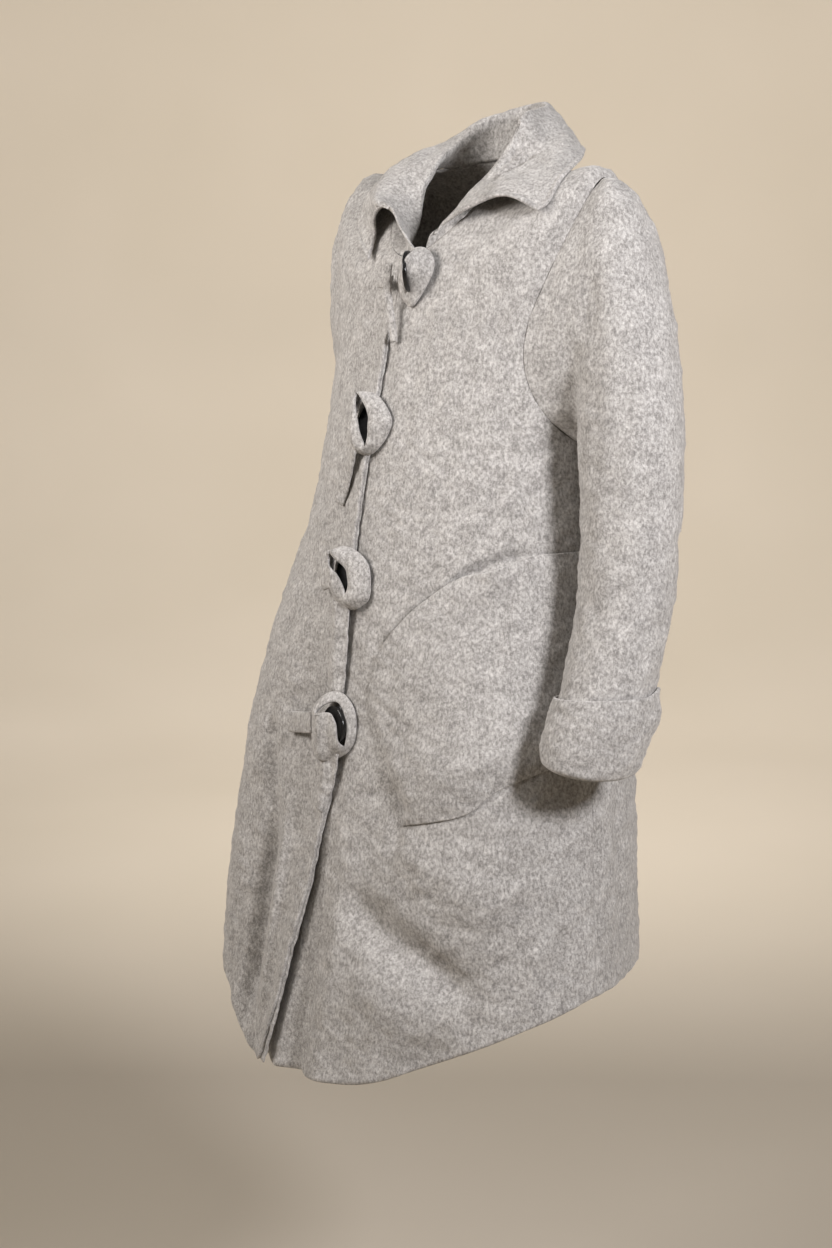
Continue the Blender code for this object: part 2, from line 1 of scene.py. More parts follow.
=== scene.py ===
# %% [markdown]
# # A grey felted-wool coat
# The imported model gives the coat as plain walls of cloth. This lesson dresses it: every wall is made
# again as a fine sheet of felt with soft creases, rolled edges and a heathered, napped surface.
# All sizes are metres, +Z is up, the front faces -Y and the wearer's left side is +X.

import json
import math

import bpy
import numpy as np
from mathutils import Matrix, Vector

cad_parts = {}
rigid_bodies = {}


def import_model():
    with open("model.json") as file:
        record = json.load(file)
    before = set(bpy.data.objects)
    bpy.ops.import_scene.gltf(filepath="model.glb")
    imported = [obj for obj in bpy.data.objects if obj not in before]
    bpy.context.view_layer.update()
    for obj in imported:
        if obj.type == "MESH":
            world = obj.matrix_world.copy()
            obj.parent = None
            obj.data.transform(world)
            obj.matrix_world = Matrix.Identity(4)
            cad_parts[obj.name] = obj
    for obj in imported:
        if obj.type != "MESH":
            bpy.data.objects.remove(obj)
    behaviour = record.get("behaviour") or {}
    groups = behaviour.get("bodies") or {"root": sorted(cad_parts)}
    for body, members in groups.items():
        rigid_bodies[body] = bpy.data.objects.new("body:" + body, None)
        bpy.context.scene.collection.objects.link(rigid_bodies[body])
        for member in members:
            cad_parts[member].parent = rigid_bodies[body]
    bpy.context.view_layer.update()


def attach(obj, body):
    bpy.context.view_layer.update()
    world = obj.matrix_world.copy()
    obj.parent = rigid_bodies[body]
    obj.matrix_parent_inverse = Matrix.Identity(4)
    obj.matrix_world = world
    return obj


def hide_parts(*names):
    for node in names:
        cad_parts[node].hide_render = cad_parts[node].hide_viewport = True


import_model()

# %% [markdown]
# ## Curves through short tables
# A pattern cutter draws a coat from a few measurements. Here each table holds such measurements, and
# one smooth curve through its rows gives every point between them.

# %% Curve helpers


def spline(rows, at):
    """Smooth curve through the rows of a table, read at row numbers 'at'."""
    rows = np.asarray(rows, float)
    at = np.clip(np.asarray(at, float), 0.0, len(rows) - 1.0)
    low = np.minimum(at.astype(int), len(rows) - 2)
    part = (at - low)[..., None]
    slope = np.gradient(rows, axis=0)
    a, b = rows[low], rows[low + 1]
    p, q = slope[low], slope[low + 1]
    s2, s3 = part**2, part**3
    return (2 * s3 - 3 * s2 + 1) * a + (s3 - 2 * s2 + part) * p + (3 * s2 - 2 * s3) * b + (s3 - s2) * q


def smooth(x):
    x = np.clip(x, 0.0, 1.0)
    return x * x * (3 - 2 * x)


def unit(v):
    return v / np.maximum(np.linalg.norm(v, axis=-1, keepdims=True), 1e-12)


# %% [markdown]
# ## The body of the coat
# The body is a stack of rings from the hem to the neck. A point on it is an angle from the centre
# front, positive to the wearer's left, and a level, which is a row number of the table. The same
# rings shaped the solids, so a sheet made from them lies exactly where its solid lies.

# %% Body rings and folds
WALL = 0.003
SEAM = 0.0004
LAID = 0.0009
UNDERARM, SHOULDER, NECK = 5, 7, 9
BODY_ROWS = np.array([
    # z_front, z_side, z_back, half_width, y_front, y_side, y_back
    (-0.968, -0.866, -0.852, 0.274, -0.268, -0.066, 0.130),
    (-0.815, -0.765, -0.750, 0.262, -0.235, -0.058, 0.134),
    (-0.650, -0.635, -0.630, 0.244, -0.205, -0.046, 0.138),
    (-0.500, -0.500, -0.500, 0.224, -0.187, -0.034, 0.138),
    (-0.380, -0.380, -0.380, 0.206, -0.170, -0.022, 0.132),
    (-0.285, -0.275, -0.290, 0.194, -0.152, -0.012, 0.124),
    (-0.195, -0.140, -0.170, 0.190, -0.132, -0.004, 0.117),
    (-0.125, 0.002, -0.050, 0.203, -0.116, 0.000, 0.104),
    (-0.100, 0.010, -0.012, 0.145, -0.110, 0.000, 0.088),
    (-0.080, 0.018, 0.030, 0.085, -0.104, 0.000, 0.066),
])
HEM_TILT = 0.018
SIDE_RISE = 1.5
FOLDS = (
    # angle, spread, depth, low, full, high
    (-42.0, 38.0, 0.037, -1.4, 1.7, 4.5),
    (48.0, 34.0, 0.020, 0.3, 2.0, 3.4),
    (-17.0, 12.0, -0.010, -2.0, 0.0, 2.2),
    (24.0, 16.0, 0.008, -2.0, -0.5, 1.6),
    (46.0, 16.0, -0.008, -2.0, -0.5, 1.6),
    (78.0, 20.0, 0.008, -2.0, -0.5, 2.2),
    (-70.0, 20.0, -0.008, -2.0, -0.5, 2.0),
    (112.0, 22.0, -0.008, -2.0, -0.5, 2.6),
    (150.0, 22.0, 0.010, -2.0, -0.5, 3.0),
    (-150.0, 22.0, 0.010, -2.0, -0.5, 3.0),
    (180.0, 18.0, -0.010, -2.0, -0.5, 3.2),
)
EDGE_ROWS = np.array([
    # level, x_right, x_left, out_right, out_left
    (0.00, -0.050, 0.0010, 0.012, -0.012),
    (0.35, -0.036, 0.0015, 0.010, -0.010),
    (0.75, -0.030, 0.0030, 0.008, -0.007),
    (1.25, -0.018, 0.0050, 0.005, -0.004),
    (1.90, -0.0015, 0.0010, 0.001, 0.000),
    (2.30, -0.0007, 0.0007, 0.000, 0.000),
    (9.00, -0.0007, 0.0007, 0.000, 0.000),
])
EDGE_REACH = 0.055
LAP_RIGHT, LAP_LEFT, LAP_REACH = 0.0050, -0.0022, 0.026
HEM_CORNER = 0.020
ARMHOLE_ANGLE, ARMHOLE_POWER = 32.0, 0.6


def fold_depth(angle, level):
    """How far the large soft folds push the cloth out."""
    total = np.zeros(np.broadcast(angle, level).shape)
    for at, spread, depth, low, full, high in FOLDS:
        off = np.abs((angle - at + 180.0) % 360.0 - 180.0)
        across = np.where(off < spread, 0.5 + 0.5 * np.cos(np.pi * off / spread), 0.0)
        along = smooth((level - low) / (full - low)) * smooth((high - level) / (high - full))
        total = total + depth * across * along
    return total


def edge_columns(level):
    """x_right, x_left, out_right and out_left of the front edges at a level."""
    return [np.interp(level, EDGE_ROWS[:, 0], EDGE_ROWS[:, k]) for k in range(1, 5)]


def body(angle, level, side=0):
    """Point of the coat body; side +1 or -1 adds the stand of that front's edge."""
    angle, level = np.broadcast_arrays(np.asarray(angle, float), np.asarray(level, float))
    row = spline(BODY_ROWS, level)
    sine, cosine = np.sin(np.radians(angle)), np.cos(np.radians(angle))
    ahead = cosine > 0
    x = row[..., 3] * sine
    y = row[..., 5] - cosine * np.where(ahead, row[..., 5] - row[..., 4], row[..., 6] - row[..., 5])
    z = row[..., 1] + np.abs(cosine) ** SIDE_RISE * (np.where(ahead, row[..., 0], row[..., 2]) - row[..., 1])
    z = z + HEM_TILT * sine * smooth(1 - level / 3)
    out = fold_depth(angle, level)
    if side:
        right, left, out_right, out_left = edge_columns(level)
        off = x - left if side > 0 else right - x
        out = out + (out_left if side > 0 else out_right) * (1 - smooth(off / EDGE_REACH))
        lapped = smooth((level - 1.2) / 0.8) * smooth((6.75 - level) / 0.15)
        out = out + (LAP_LEFT if side > 0 else LAP_RIGHT) * lapped * (1 - smooth(off / LAP_REACH))
    return np.stack([x + out * sine, y - out * cosine, z], axis=-1)


def body_normal(angle, level, side=0):
    """Outward normal of the body cloth."""
    level = np.asarray(level, float)
    high, low = np.minimum(level + 0.01, NECK), np.maximum(level - 0.01, 0)
    around = body(angle + 0.2, level, side) - body(angle - 0.2, level, side)
    return unit(np.cross(around, body(angle, high, side) - body(angle, low, side)))


# %% [markdown]
# ## Creases and the unevenness of felt
# Felt is thick, so it makes few creases, and they are soft. Each one is a short line on the coat with
# a width and a height: negative for a trough, positive for a ridge. Real felt is also never quite
# flat, which a sum of small waves in many directions gives. A cloth simulation would smooth both away.

# %% Creases placed one by one
CREASES = (
    # angle and level at both ends, bow in degrees, half_width, height
    (8.6, 4.34, 35.8, 4.32, 0.0, 0.0035, -0.0010),
    (-18.3, 6.535, 0.4, 6.665, 0.0, 0.0040, -0.0026),
    (3.0, 1.42, 53.0, 0.36, 6.0, 0.022, -0.0160),
    (18.0, 1.78, 60.0, 1.05, 5.0, 0.026, 0.0060),
    (10.0, 0.90, 42.0, 0.12, 4.0, 0.028, 0.0060),
    (9.0, 1.80, 8.0, 0.20, 0.0, 0.018, 0.0040),
    (21.0, 2.08, 28.0, 1.84, 0.0, 0.012, -0.0060),
    (72.0, 1.05, 65.5, 0.02, 0.0, 0.009, 0.0032),
    (79.0, 0.95, 71.5, 0.10, 0.0, 0.010, -0.0032),
    (53.0, 0.85, 50.0, 0.02, 0.0, 0.014, -0.0030),
    (6.0, 0.00, 52.0, 0.00, 0.0, 0.055, -0.0120),
    (-29.0, 2.50, -21.5, 1.60, 0.0, 0.009, -0.0080),
    (-21.5, 1.90, -24.0, 0.02, -0.5, 0.012, -0.0200),
    (-29.0, 2.10, -31.0, 0.10, 2.0, 0.024, -0.0050),
    (-15.5, 2.00, -17.5, 0.05, 0.0, 0.010, 0.0070),
    (30.0, 2.10, 58.0, 2.35, 0.0, 0.012, 0.0028),
    (28.0, 2.00, 24.0, 1.60, 0.0, 0.014, -0.0035),
    (44.0, 6.45, 60.0, 5.60, -3.0, 0.010, -0.0018),
    (12.0, 5.20, 40.0, 5.75, 2.0, 0.016, 0.0016),
    (-8.0, 3.30, -34.0, 3.75, 0.0, 0.014, -0.0022),
    (-5.0, 2.75, -30.0, 2.60, 2.0, 0.016, 0.0024),
    (-10.0, 4.60, -38.0, 4.25, 0.0, 0.012, -0.0018),
    (100.0, 2.10, 108.0, 0.05, 2.0, 0.014, -0.0035),
    (128.0, 3.40, 134.0, 0.10, 2.0, 0.018, -0.0045),
    (165.0, 2.60, 166.0, 0.02, -2.0, 0.016, 0.0040),
    (196.0, 3.80, 198.0, 0.10, 3.0, 0.018, -0.0050),
    (226.0, 2.60, 230.0, 0.02, 0.0, 0.016, -0.0040),
    (250.0, 1.60, 256.0, 0.02, 0.0, 0.012, 0.0035),
    (140.0, 5.10, 168.0, 5.50, 2.0, 0.014, -0.0022),
    (222.0, 4.90, 196.0, 5.40, -2.0, 0.016, -0.0025),
    (152.0, 6.30, 176.0, 5.95, 0.0, 0.012, 0.0018),
)
POCKET_TOP = ((15.2, 3.075), (24.8, 3.375), (37.0, 3.640), (50.0, 3.835), (63.8, 3.915), (88.5, 3.940))
POCKET_LEFT = ((26.3, 1.805), (19.9, 2.205), (15.3, 2.450), (11.5, 2.650), (12.6, 2.850), (15.2, 3.075))
POCKET_BOTTOM = ((26.3, 1.805), (36.0, 1.850), (46.0, 1.920), (55.0, 2.090), (72.0, 2.195), (88.5, 2.200))
CREASE_STEPS = 9
FELT_WAVES = 26
FELT_HEIGHT = 0.00016
draws = np.random.default_rng(11)
wave_length = draws.uniform(0.010, 0.045, FELT_WAVES)
wave_vector = unit(draws.normal(size=(FELT_WAVES, 3))) * (2 * np.pi / wave_length)[:, None]
wave_phase = draws.uniform(0, 2 * np.pi, FELT_WAVES)


def felt_height(points):
    """Small uneven rise and fall of felted cloth."""
    total = np.zeros(points.shape[:-1])
    for vector, phase in zip(wave_vector, wave_phase):
        total += np.sin(points @ vector + phase)
    return FELT_HEIGHT * total


def crease_height(points, lines):
    """Height that soft creases add, each a polyline with a half width, a height and fading ends."""
    total = np.zeros(points.shape[:-1])
    for line, width, height, ends in lines:
        near = np.full(points.shape[:-1], 1e9)
        along = np.zeros(points.shape[:-1])
        for k, (a, b) in enumerate(zip(line[:-1], line[1:])):
            step = b - a
            part = np.clip((points - a) @ step / (step @ step), 0, 1)
            off = np.linalg.norm(points - a - part[..., None] * step, axis=-1)
            along = np.where(off < near, (k + part) / (len(line) - 1), along)
            near = np.minimum(near, off)
        taper = smooth(along / ends) * smooth((1 - along) / ends)
        total += height * np.exp(-((near / width) ** 2)) * taper
    return total


def body_line(angle_0, level_0, angle_1, level_1, bow):
    """Points along a crease on the body."""
    part = np.linspace(0, 1, CREASE_STEPS)
    angle = angle_0 + (angle_1 - angle_0) * part + bow * np.sin(np.pi * part)
    return body(angle, level_0 + (level_1 - level_0) * part)


def pocket_line(side, start=0.0, stop=1.0):
    """Points along a pocket's outline, from the side seam along its top, edge and bottom."""
    way = np.array(POCKET_TOP[::-1] + POCKET_LEFT[-2::-1] + POCKET_BOTTOM[1:])
    at = spline(way, np.linspace(start, stop, 40) * (len(way) - 1))
    return body(side * at[:, 0], at[:, 1], side)


BODY_CREASES = [(body_line(*row[:5]), row[5], row[6], 0.3) for row in CREASES]
POCKET_GAPS = {
    # the left front sinks below its pocket's mouth and beside its edge; the right pocket lies flat
    1: [
        (pocket_line(1, 0.055, 0.205), 0.0060, -0.0065, 0.2),
        (pocket_line(1, 0.18, 0.36), 0.0026, -0.0024, 0.15),
        (pocket_line(1, 0.0, 0.08), 0.0026, -0.0018, 0.2),
    ],
    -1: [],
}


def coat(angle, level, side=0):
    """Creased points of the coat body and their outward normals."""
    angle, level = np.broadcast_arrays(np.asarray(angle, float), np.asarray(level, float))
    base, normal = body(angle, level, side), body_normal(angle, level, side)
    height = crease_height(base, BODY_CREASES) + felt_height(base)
    return base + height[..., None] * normal, normal


print("creases on the body:", len(BODY_CREASES))

# %% [markdown]
# ## Cloth as a closed sheet
# A sheet is an outer and an inner grid of points. A free edge gets one more line of points halfway
# through the wall, pushed out a little, so it shades as a soft roll, as the cut edge of felt does.
# Each point also keeps its place in metres, moved by an amount of its own for every piece, so the
# wool's flecks keep one size everywhere and don't run on from one piece to the next.

# %% Sheet helpers


def row_lengths(grid, axis):
    """Distance along the rows or columns of a grid, from its first line."""
    steps = np.linalg.norm(np.diff(grid, axis=axis), axis=-1)
    return np.concatenate([np.zeros_like(np.take(steps, [0], axis)), np.cumsum(steps, axis)], axis)


def grid_normals(grid, closed=False):
    """Normals of a grid of points, rows by columns."""
    across = np.roll(grid, -1, 1) - np.roll(grid, 1, 1) if closed else np.gradient(grid, axis=1)
    return unit(np.cross(across, np.gradient(grid, axis=0)))


def eased(normals, first, closed=False, rounds=6):
    """Normals averaged with their neighbours, the first row given."""
    for _ in range(rounds):
        normals[0] = first
        padded = np.pad(normals, ((1, 1), (1, 1), (0, 0)), mode="edge")
        if closed:
            padded[:, 0], padded[:, -1] = padded[:, -2].copy(), padded[:, 1].copy()
        beside = padded[:-2, 1:-1] + padded[2:, 1:-1] + padded[1:-1, :-2] + padded[1:-1, 2:]
        normals = unit(2 * padded[1:-1, 1:-1] + beside)
    normals[0] = first
    return normals


def rim(edge_out, edge_in, next_out, push):
    """Points halfway through the wall at an edge, pushed away from the sheet."""
    middle = 0.5 * (edge_out + edge_in)
    away = unit(edge_out - next_out)
    return middle + push * away


def sheet_faces(rows, columns, closed):
    """Faces of a closed sheet as corners (layer or rim, row, column)."""
    faces = []
    steps = columns if closed else columns - 1
    for r in range(rows - 1):
        for c in range(steps):
            faces.append([("o", r, c), ("o", r, c + 1), ("o", r + 1, c + 1), ("o", r + 1, c)])
            faces.append([("i", r, c), ("i", r + 1, c), ("i", r + 1, c + 1), ("i", r, c + 1)])
    for r, tag, turn in ((0, "b", 1), (rows - 1, "t", -1)):
        for c in range(steps):
            faces.append([("o", r, c), (tag, r, c), (tag, r, c + 1), ("o", r, c + 1)][::turn])
            faces.append([(tag, r, c), ("i", r, c), ("i", r, c + 1), (tag, r, c + 1)][::turn])
    if not closed:
        for c, tag, turn in ((0, "s", 1), (columns - 1, "e", -1)):
            for r in range(rows - 1):
                faces.append([("o", r, c), ("o", r + 1, c), (tag, r + 1, c), (tag, r, c)][::turn])
                faces.append([(tag, r, c), (tag, r + 1, c), ("i", r + 1, c), ("i", r, c)][::turn])
        for r, c, flat, side, turn in ((0, 0, "b", "s", 1), (0, columns - 1, "b", "e", -1),
                                       (rows - 1, 0, "t", "s", -1), (rows - 1, columns - 1, "t", "e", 1)):
            faces.append([("o", r, c), (side, r, c), (flat, r, c)][::turn])
            faces.append([("i", r, c), (flat, r, c), (side, r, c)][::turn])
    return faces


OUTER_POINTS = {}
PIECE_SHIFT = np.array([0.370, 0.259, 0.148])


def cloth_sheet(name, outer, inner, closed=False, push=(0.0, 0.0, 0.0, 0.0)):
    """One closed sheet of cloth; push rolls its bottom, top, start and end edges."""
    rows, columns = outer.shape[:2]
    bottom = rim(outer[0], inner[0], outer[1], push[0])
    top = rim(outer[-1], inner[-1], outer[-2], push[1])
    start = rim(outer[:, 0], inner[:, 0], outer[:, 1], push[2])
    end = rim(outer[:, -1], inner[:, -1], outer[:, -2], push[3])
    blocks = [outer.reshape(-1, 3), inner.reshape(-1, 3), bottom, top]
    if not closed:
        blocks += [start, end]
    points = np.concatenate(blocks)
    count = rows * columns
    OUTER_POINTS[name] = count
    first = {"o": 0, "i": count, "b": 2 * count, "t": 2 * count + columns,
             "s": 2 * count + 2 * columns, "e": 2 * count + 2 * columns + rows}

    def index(tag, r, c):
        if tag in "oi":
            return first[tag] + r * columns + c % columns
        return first[tag] + (c % columns if tag in "bt" else r)

    corners = sheet_faces(rows, columns, closed)
    faces = [[index(*corner) for corner in face] for face in corners]
    mesh = bpy.data.meshes.new(f"wool_{name}")
    mesh.from_pydata(points.tolist(), [], faces)
    cut_from = points + len(bpy.data.meshes) * PIECE_SHIFT
    mesh.attributes.new("wool_place", "FLOAT_VECTOR", "POINT").data.foreach_set("vector", cut_from.ravel())
    mesh.update()
    tris = np.array([(f[0], f[k], f[k + 1]) for f in faces for k in range(1, len(f) - 1)])
    a, b, c = points[tris[:, 0]], points[tris[:, 1]], points[tris[:, 2]]
    if np.sum(a * np.cross(b, c)) < 0:
        mesh.flip_normals()
    mesh.polygons.foreach_set("use_smooth", [True] * len(mesh.polygons))
    sheet = bpy.data.objects.new(f"wool_{name}", mesh)
    bpy.context.scene.collection.objects.link(sheet)
    area = 0.5 * np.sum(np.linalg.norm(np.cross(b - a, c - a), axis=1)) / 2
    print(f"{name}: {len(tris)} triangles, {area:.4f} square metres of cloth")
    return sheet


# %% [markdown]
# ## Finishes
# Boiled wool is knitted, then shrunk until the stitches close. The yarn is a mix of pale, mid and dark
# grey fibres, so the eye sees small soft flecks a few millimetres long, a cloudier mottle behind them,
# and a short nap that catches light at grazing angles. The buttons are polished black resin.

# %% Material helpers
MM = 0.001


def hex_colour(code):
    """A hex sRGB colour as linear RGBA."""
    parts = [int(code[k:k + 2], 16) / 255 for k in (1, 3, 5)]
    return tuple(p / 12.92 if p <= 0.04045 else ((p + 0.055) / 1.055) ** 2.4 for p in parts) + (1.0,)


def add_shader_node(tree, kind, settings=None, inputs=None):
    """A node with its settings, and its inputs as values or as sockets to link."""
    node = tree.nodes.new(kind)
    for key, value in (settings or {}).items():
        setattr(node, key, value)
    for key, value in (inputs or {}).items():
        if isinstance(value, bpy.types.NodeSocket):
            tree.links.new(value, node.inputs[key])
        else:
            node.inputs[key].default_value = value
    return node


def new_material(name):
    material = bpy.data.materials.new(name)
    material.use_nodes = True
    return material, material.node_tree, material.node_tree.nodes["Principled BSDF"]


def colour_stops(ramp, stops):
    """Gives a colour ramp its stops as (place, colour)."""
    elements = ramp.color_ramp.elements
    while len(elements) > 1:
        elements.remove(elements[-1])
    elements[0].position, elements[0].color = stops[0]
    for place, colour in stops[1:]:
        elements.new(place).color = colour


# %% Felted wool
FLECK = (3.0 * MM, 3.0 * MM, 4.2 * MM)
FIBRE = (0.8 * MM, 0.8 * MM, 1.4 * MM)
CLOUD = 17 * MM
NAP = 1.0 * MM
FIBRE_SHARE, CLOUD_SHARE = 0.7, 0.4


def turned_noise(tree, place, turn, sizes, detail, distortion):
    """Noise stretched to grains of the given sizes, which are coarser than real fibres so that they show."""
    laid = add_shader_node(tree, "ShaderNodeMapping", inputs={
        "Vector": place, "Rotation": turn, "Scale": tuple(1 / size for size in sizes)})
    grain = add_shader_node(tree, "ShaderNodeTexNoise", inputs={
        "Vector": laid.outputs["Vector"], "Scale": 1.0, "Detail": detail, "Roughness": 0.6,
        "Distortion": distortion})
    return grain.outputs["Fac"]


def felted_wool():
    """Heathered boiled wool: matt, softly flecked, with a pale nap along its outlines."""
    material, tree, shader = new_material("felted_wool")
    place = add_shader_node(tree, "ShaderNodeAttribute", {"attribute_name": "wool_place"}).outputs["Vector"]
    fleck = turned_noise(tree, place, (0.2, 0.25, 0), FLECK, 2.0, 0.25)
    fibre = turned_noise(tree, place, (-0.3, 0.4, 0), FIBRE, 1.5, 0.3)
    cloud = add_shader_node(tree, "ShaderNodeTexNoise", inputs={
        "Vector": place, "Scale": 1 / CLOUD, "Detail": 3.0, "Roughness": 0.6})
    both = add_shader_node(tree, "ShaderNodeMath", {"operation": "MULTIPLY_ADD"}, {
        0: fibre, 1: FIBRE_SHARE, 2: fleck})
    mixed = add_shader_node(tree, "ShaderNodeMath", {"operation": "MULTIPLY_ADD"}, {
        0: cloud.outputs["Fac"], 1: CLOUD_SHARE, 2: both.outputs["Value"]})
    blend = add_shader_node(tree, "ShaderNodeMath", {"operation": "DIVIDE"}, {
        0: mixed.outputs["Value"], 1: 1 + FIBRE_SHARE + CLOUD_SHARE})
    ramp = add_shader_node(tree, "ShaderNodeValToRGB", inputs={"Fac": blend.outputs["Value"]})
    colour_stops(ramp, [
        (0.37, hex_colour("#757270")), (0.47, hex_colour("#969390")),
        (0.53, hex_colour("#a8a5a2")), (0.63, hex_colour("#c5c2bf")),
    ])
    nap = add_shader_node(tree, "ShaderNodeTexNoise", inputs={
        "Vector": place, "Scale": 1 / NAP, "Detail": 2.0, "Roughness": 0.7})
    pile = add_shader_node(tree, "ShaderNodeMath", {"operation": "MULTIPLY_ADD"}, {
        0: fleck, 1: 0.9, 2: nap.outputs["Fac"]})
    bump = add_shader_node(tree, "ShaderNodeBump", inputs={
        "Height": pile.outputs["Value"], "Strength": 0.4, "Distance": 0.6 * MM})
    tree.links.new(ramp.outputs["Color"], shader.inputs["Base Color"])
    tree.links.new(bump.outputs["Normal"], shader.inputs["Normal"])
    shader.inputs["Roughness"].default_value = 0.95
    shader.inputs["Specular IOR Level"].default_value = 0.2
    shader.inputs["Sheen Weight"].default_value = 0.3
    shader.inputs["Sheen Roughness"].default_value = 0.55
    shader.inputs["Sheen Tint"].default_value = hex_colour("#f2efec")
    return material


# %% Polished black resin
def black_resin():
    """Cast and polished black button: deep black with sharp highlights and faint swirls."""
    material, tree, shader = new_material("black_resin")
    place = add_shader_node(tree, "ShaderNodeTexCoord").outputs["Object"]
    swirl = add_shader_node(tree, "ShaderNodeTexNoise", inputs={
        "Vector": place, "Scale": 1 / (6 * MM), "Detail": 3.0, "Distortion": 1.5})
    ramp = add_shader_node(tree, "ShaderNodeValToRGB", inputs={"Fac": swirl.outputs["Fac"]})
    colour_stops(ramp, [(0.35, hex_colour("#0b0b0c")), (0.75, hex_colour("#1d1c1c"))])
    worn = add_shader_node(tree, "ShaderNodeMapRange", inputs={
        "Value": swirl.outputs["Fac"], "To Min": 0.14, "To Max": 0.26})
    tree.links.new(ramp.outputs["Color"], shader.inputs["Base Color"])
    tree.links.new(worn.outputs["Result"], shader.inputs["Roughness"])
    shader.inputs["IOR"].default_value = 1.52
    return material


WOOL, RESIN = felted_wool(), black_resin()
print("finishes:", WOOL.name, RESIN.name)

# %% [markdown]
# ## Where each sheet belongs
# Every sheet stands for one solid of the imported coat, rides on the coat's only body and takes the
# finish that the script gives it.

# %% Placing a sheet


def wear(piece, node, finish=WOOL):
    """Gives a finished piece its finish, hides the solid it stands for and hangs it on the coat."""
    piece.data.materials.append(finish)
    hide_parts(node)
    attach(piece, "root")
    return piece


# %% [markdown]
# ## Fronts and back
# The two fronts and the back hang from the shoulders and are sewn down the sides. Each is a fine grid
# between its edges. Near a seam the cloth is pulled down a little, which gives the seam its soft line.

# %% Panel grids
ROWS_SKIRT, ROWS_ARMHOLE, ROWS_YOKE = 200, 48, 16
FRONT_COLUMNS, BACK_COLUMNS = {1: 126, -1: 96}, 112
BESIDE = 0.004
SEAM_DIP, SEAM_REACH = 0.0005, 0.0026
EDGE_ROLL = 0.0011
OPENING_TOP = 6.65
HEM_SEWN, SEWN_WIDE, SEWN_DEEP = 0.011, 0.0021, 0.0011


def armhole(level, back=False):
    """Half-width of the armhole at a level, as an angle."""
    part = np.clip((np.asarray(level, float) - UNDERARM) / (SHOULDER - UNDERARM), 0, 1)
    wide = ARMHOLE_ANGLE * (0.86 if back else 1.0)
    return wide * np.sin(np.pi * part) ** ARMHOLE_POWER * (1.12 - 0.24 * part)


def armhole_levels():
    """Levels up the armhole, closer together at its two ends."""
    part = 0.5 - 0.5 * np.cos(np.pi * np.arange(ROWS_ARMHOLE + 1) / ROWS_ARMHOLE)
    return UNDERARM + (SHOULDER - UNDERARM) * part


def levels():
    """Levels of the panel rows from hem to neck."""
    skirt = np.linspace(0, UNDERARM, ROWS_SKIRT + 1)
    yoke = np.linspace(SHOULDER, NECK, ROWS_YOKE + 1)
    return np.concatenate([skirt, armhole_levels()[1:], yoke[1:]])


RIGHT_RISE = 0.36
HALF_SEAM = math.degrees(0.5 * SEAM / 0.17)


def front_panel(side):
    """Grid of angles and levels of one front, from its edge to the side seam."""
    rows = levels()
    right, left = edge_columns(rows)[:2]
    width = spline(BODY_ROWS, rows)[:, 3]
    edge = np.degrees(np.arcsin((left if side > 0 else -right) / width))
    stop = 90.0 - armhole(rows) - HALF_SEAM
    columns = FRONT_COLUMNS[side] + 1
    part = np.linspace(0, 1, columns) ** 1.15
    part[-2] = 1 - BESIDE
    angle = edge[:, None] + (stop - edge)[:, None] * part[None, :]
    level = np.repeat(rows[:, None], columns, axis=1)
    off = (angle[0] - angle[0, 0]) * math.radians(1) * width[0]
    reach = np.clip(1 - off / HEM_CORNER, 0, 1)
    lift = HEM_CORNER * (1 - np.sqrt(1 - reach**2)) / 0.13
    rise = RIGHT_RISE * smooth((angle - 19) / 17) * smooth((88 - angle) / 40) if side < 0 else 0.0
    return side * angle, level + (lift[None, :] + rise) * np.clip(1 - level / 1.5, 0, 1)


def seam_dip(distance):
    """How far a seam pulls the cloth in at a distance from it."""
    return -SEAM_DIP * np.exp(-((distance / SEAM_REACH) ** 2))


# %% Fronts
def make_front(name, side):
    angle, level = front_panel(side)
    outer, normal = coat(angle, level, side)
    outer = outer + crease_height(outer, POCKET_GAPS[side])[..., None] * normal
    inner = outer - WALL * normal
    across = row_lengths(outer, 1)
    dip = seam_dip(across[:, -1:] - across)
    if side < 0:
        sewn = np.exp(-(((across - HEM_SEWN) / SEWN_WIDE) ** 2)) * smooth((OPENING_TOP - level) / 0.1)
        dip = dip - SEWN_DEEP * sewn
    outer = outer + dip[..., None] * normal
    return wear(cloth_sheet(name, outer, inner, push=(EDGE_ROLL, 0, EDGE_ROLL, 0)), name)


make_front("front_left", 1)
make_front("front_right", -1)


# %% Back
def make_back():
    rows = levels()
    start = 90.0 + armhole(rows, back=True) + HALF_SEAM
    part = np.linspace(0, 1, BACK_COLUMNS + 1)
    part[1], part[-2] = 0.5 * BESIDE, 1 - 0.5 * BESIDE
    angle = start[:, None] + (360.0 - 2 * start)[:, None] * part[None, :]
    level = np.repeat(rows[:, None], BACK_COLUMNS + 1, axis=1)
    outer, normal = coat(angle, level)
    inner = outer - WALL * normal
    across = row_lengths(outer, 1)
    dip = seam_dip(across) + seam_dip(across[:, -1:] - across)
    outer = outer + dip[..., None] * normal
    return wear(cloth_sheet("back", outer, inner, push=(EDGE_ROLL, 0, 0, 0)), "back")


make_back()

# %% [markdown]
# ## Sleeves
# A set-in sleeve is a tube that starts on the armhole and ends at the wrist. Rings between the under
# and the upper line of the arm give its shape. Its creases are drag lines below the armhole and at
# the elbow, each a line of a place round the sleeve and a place down it.

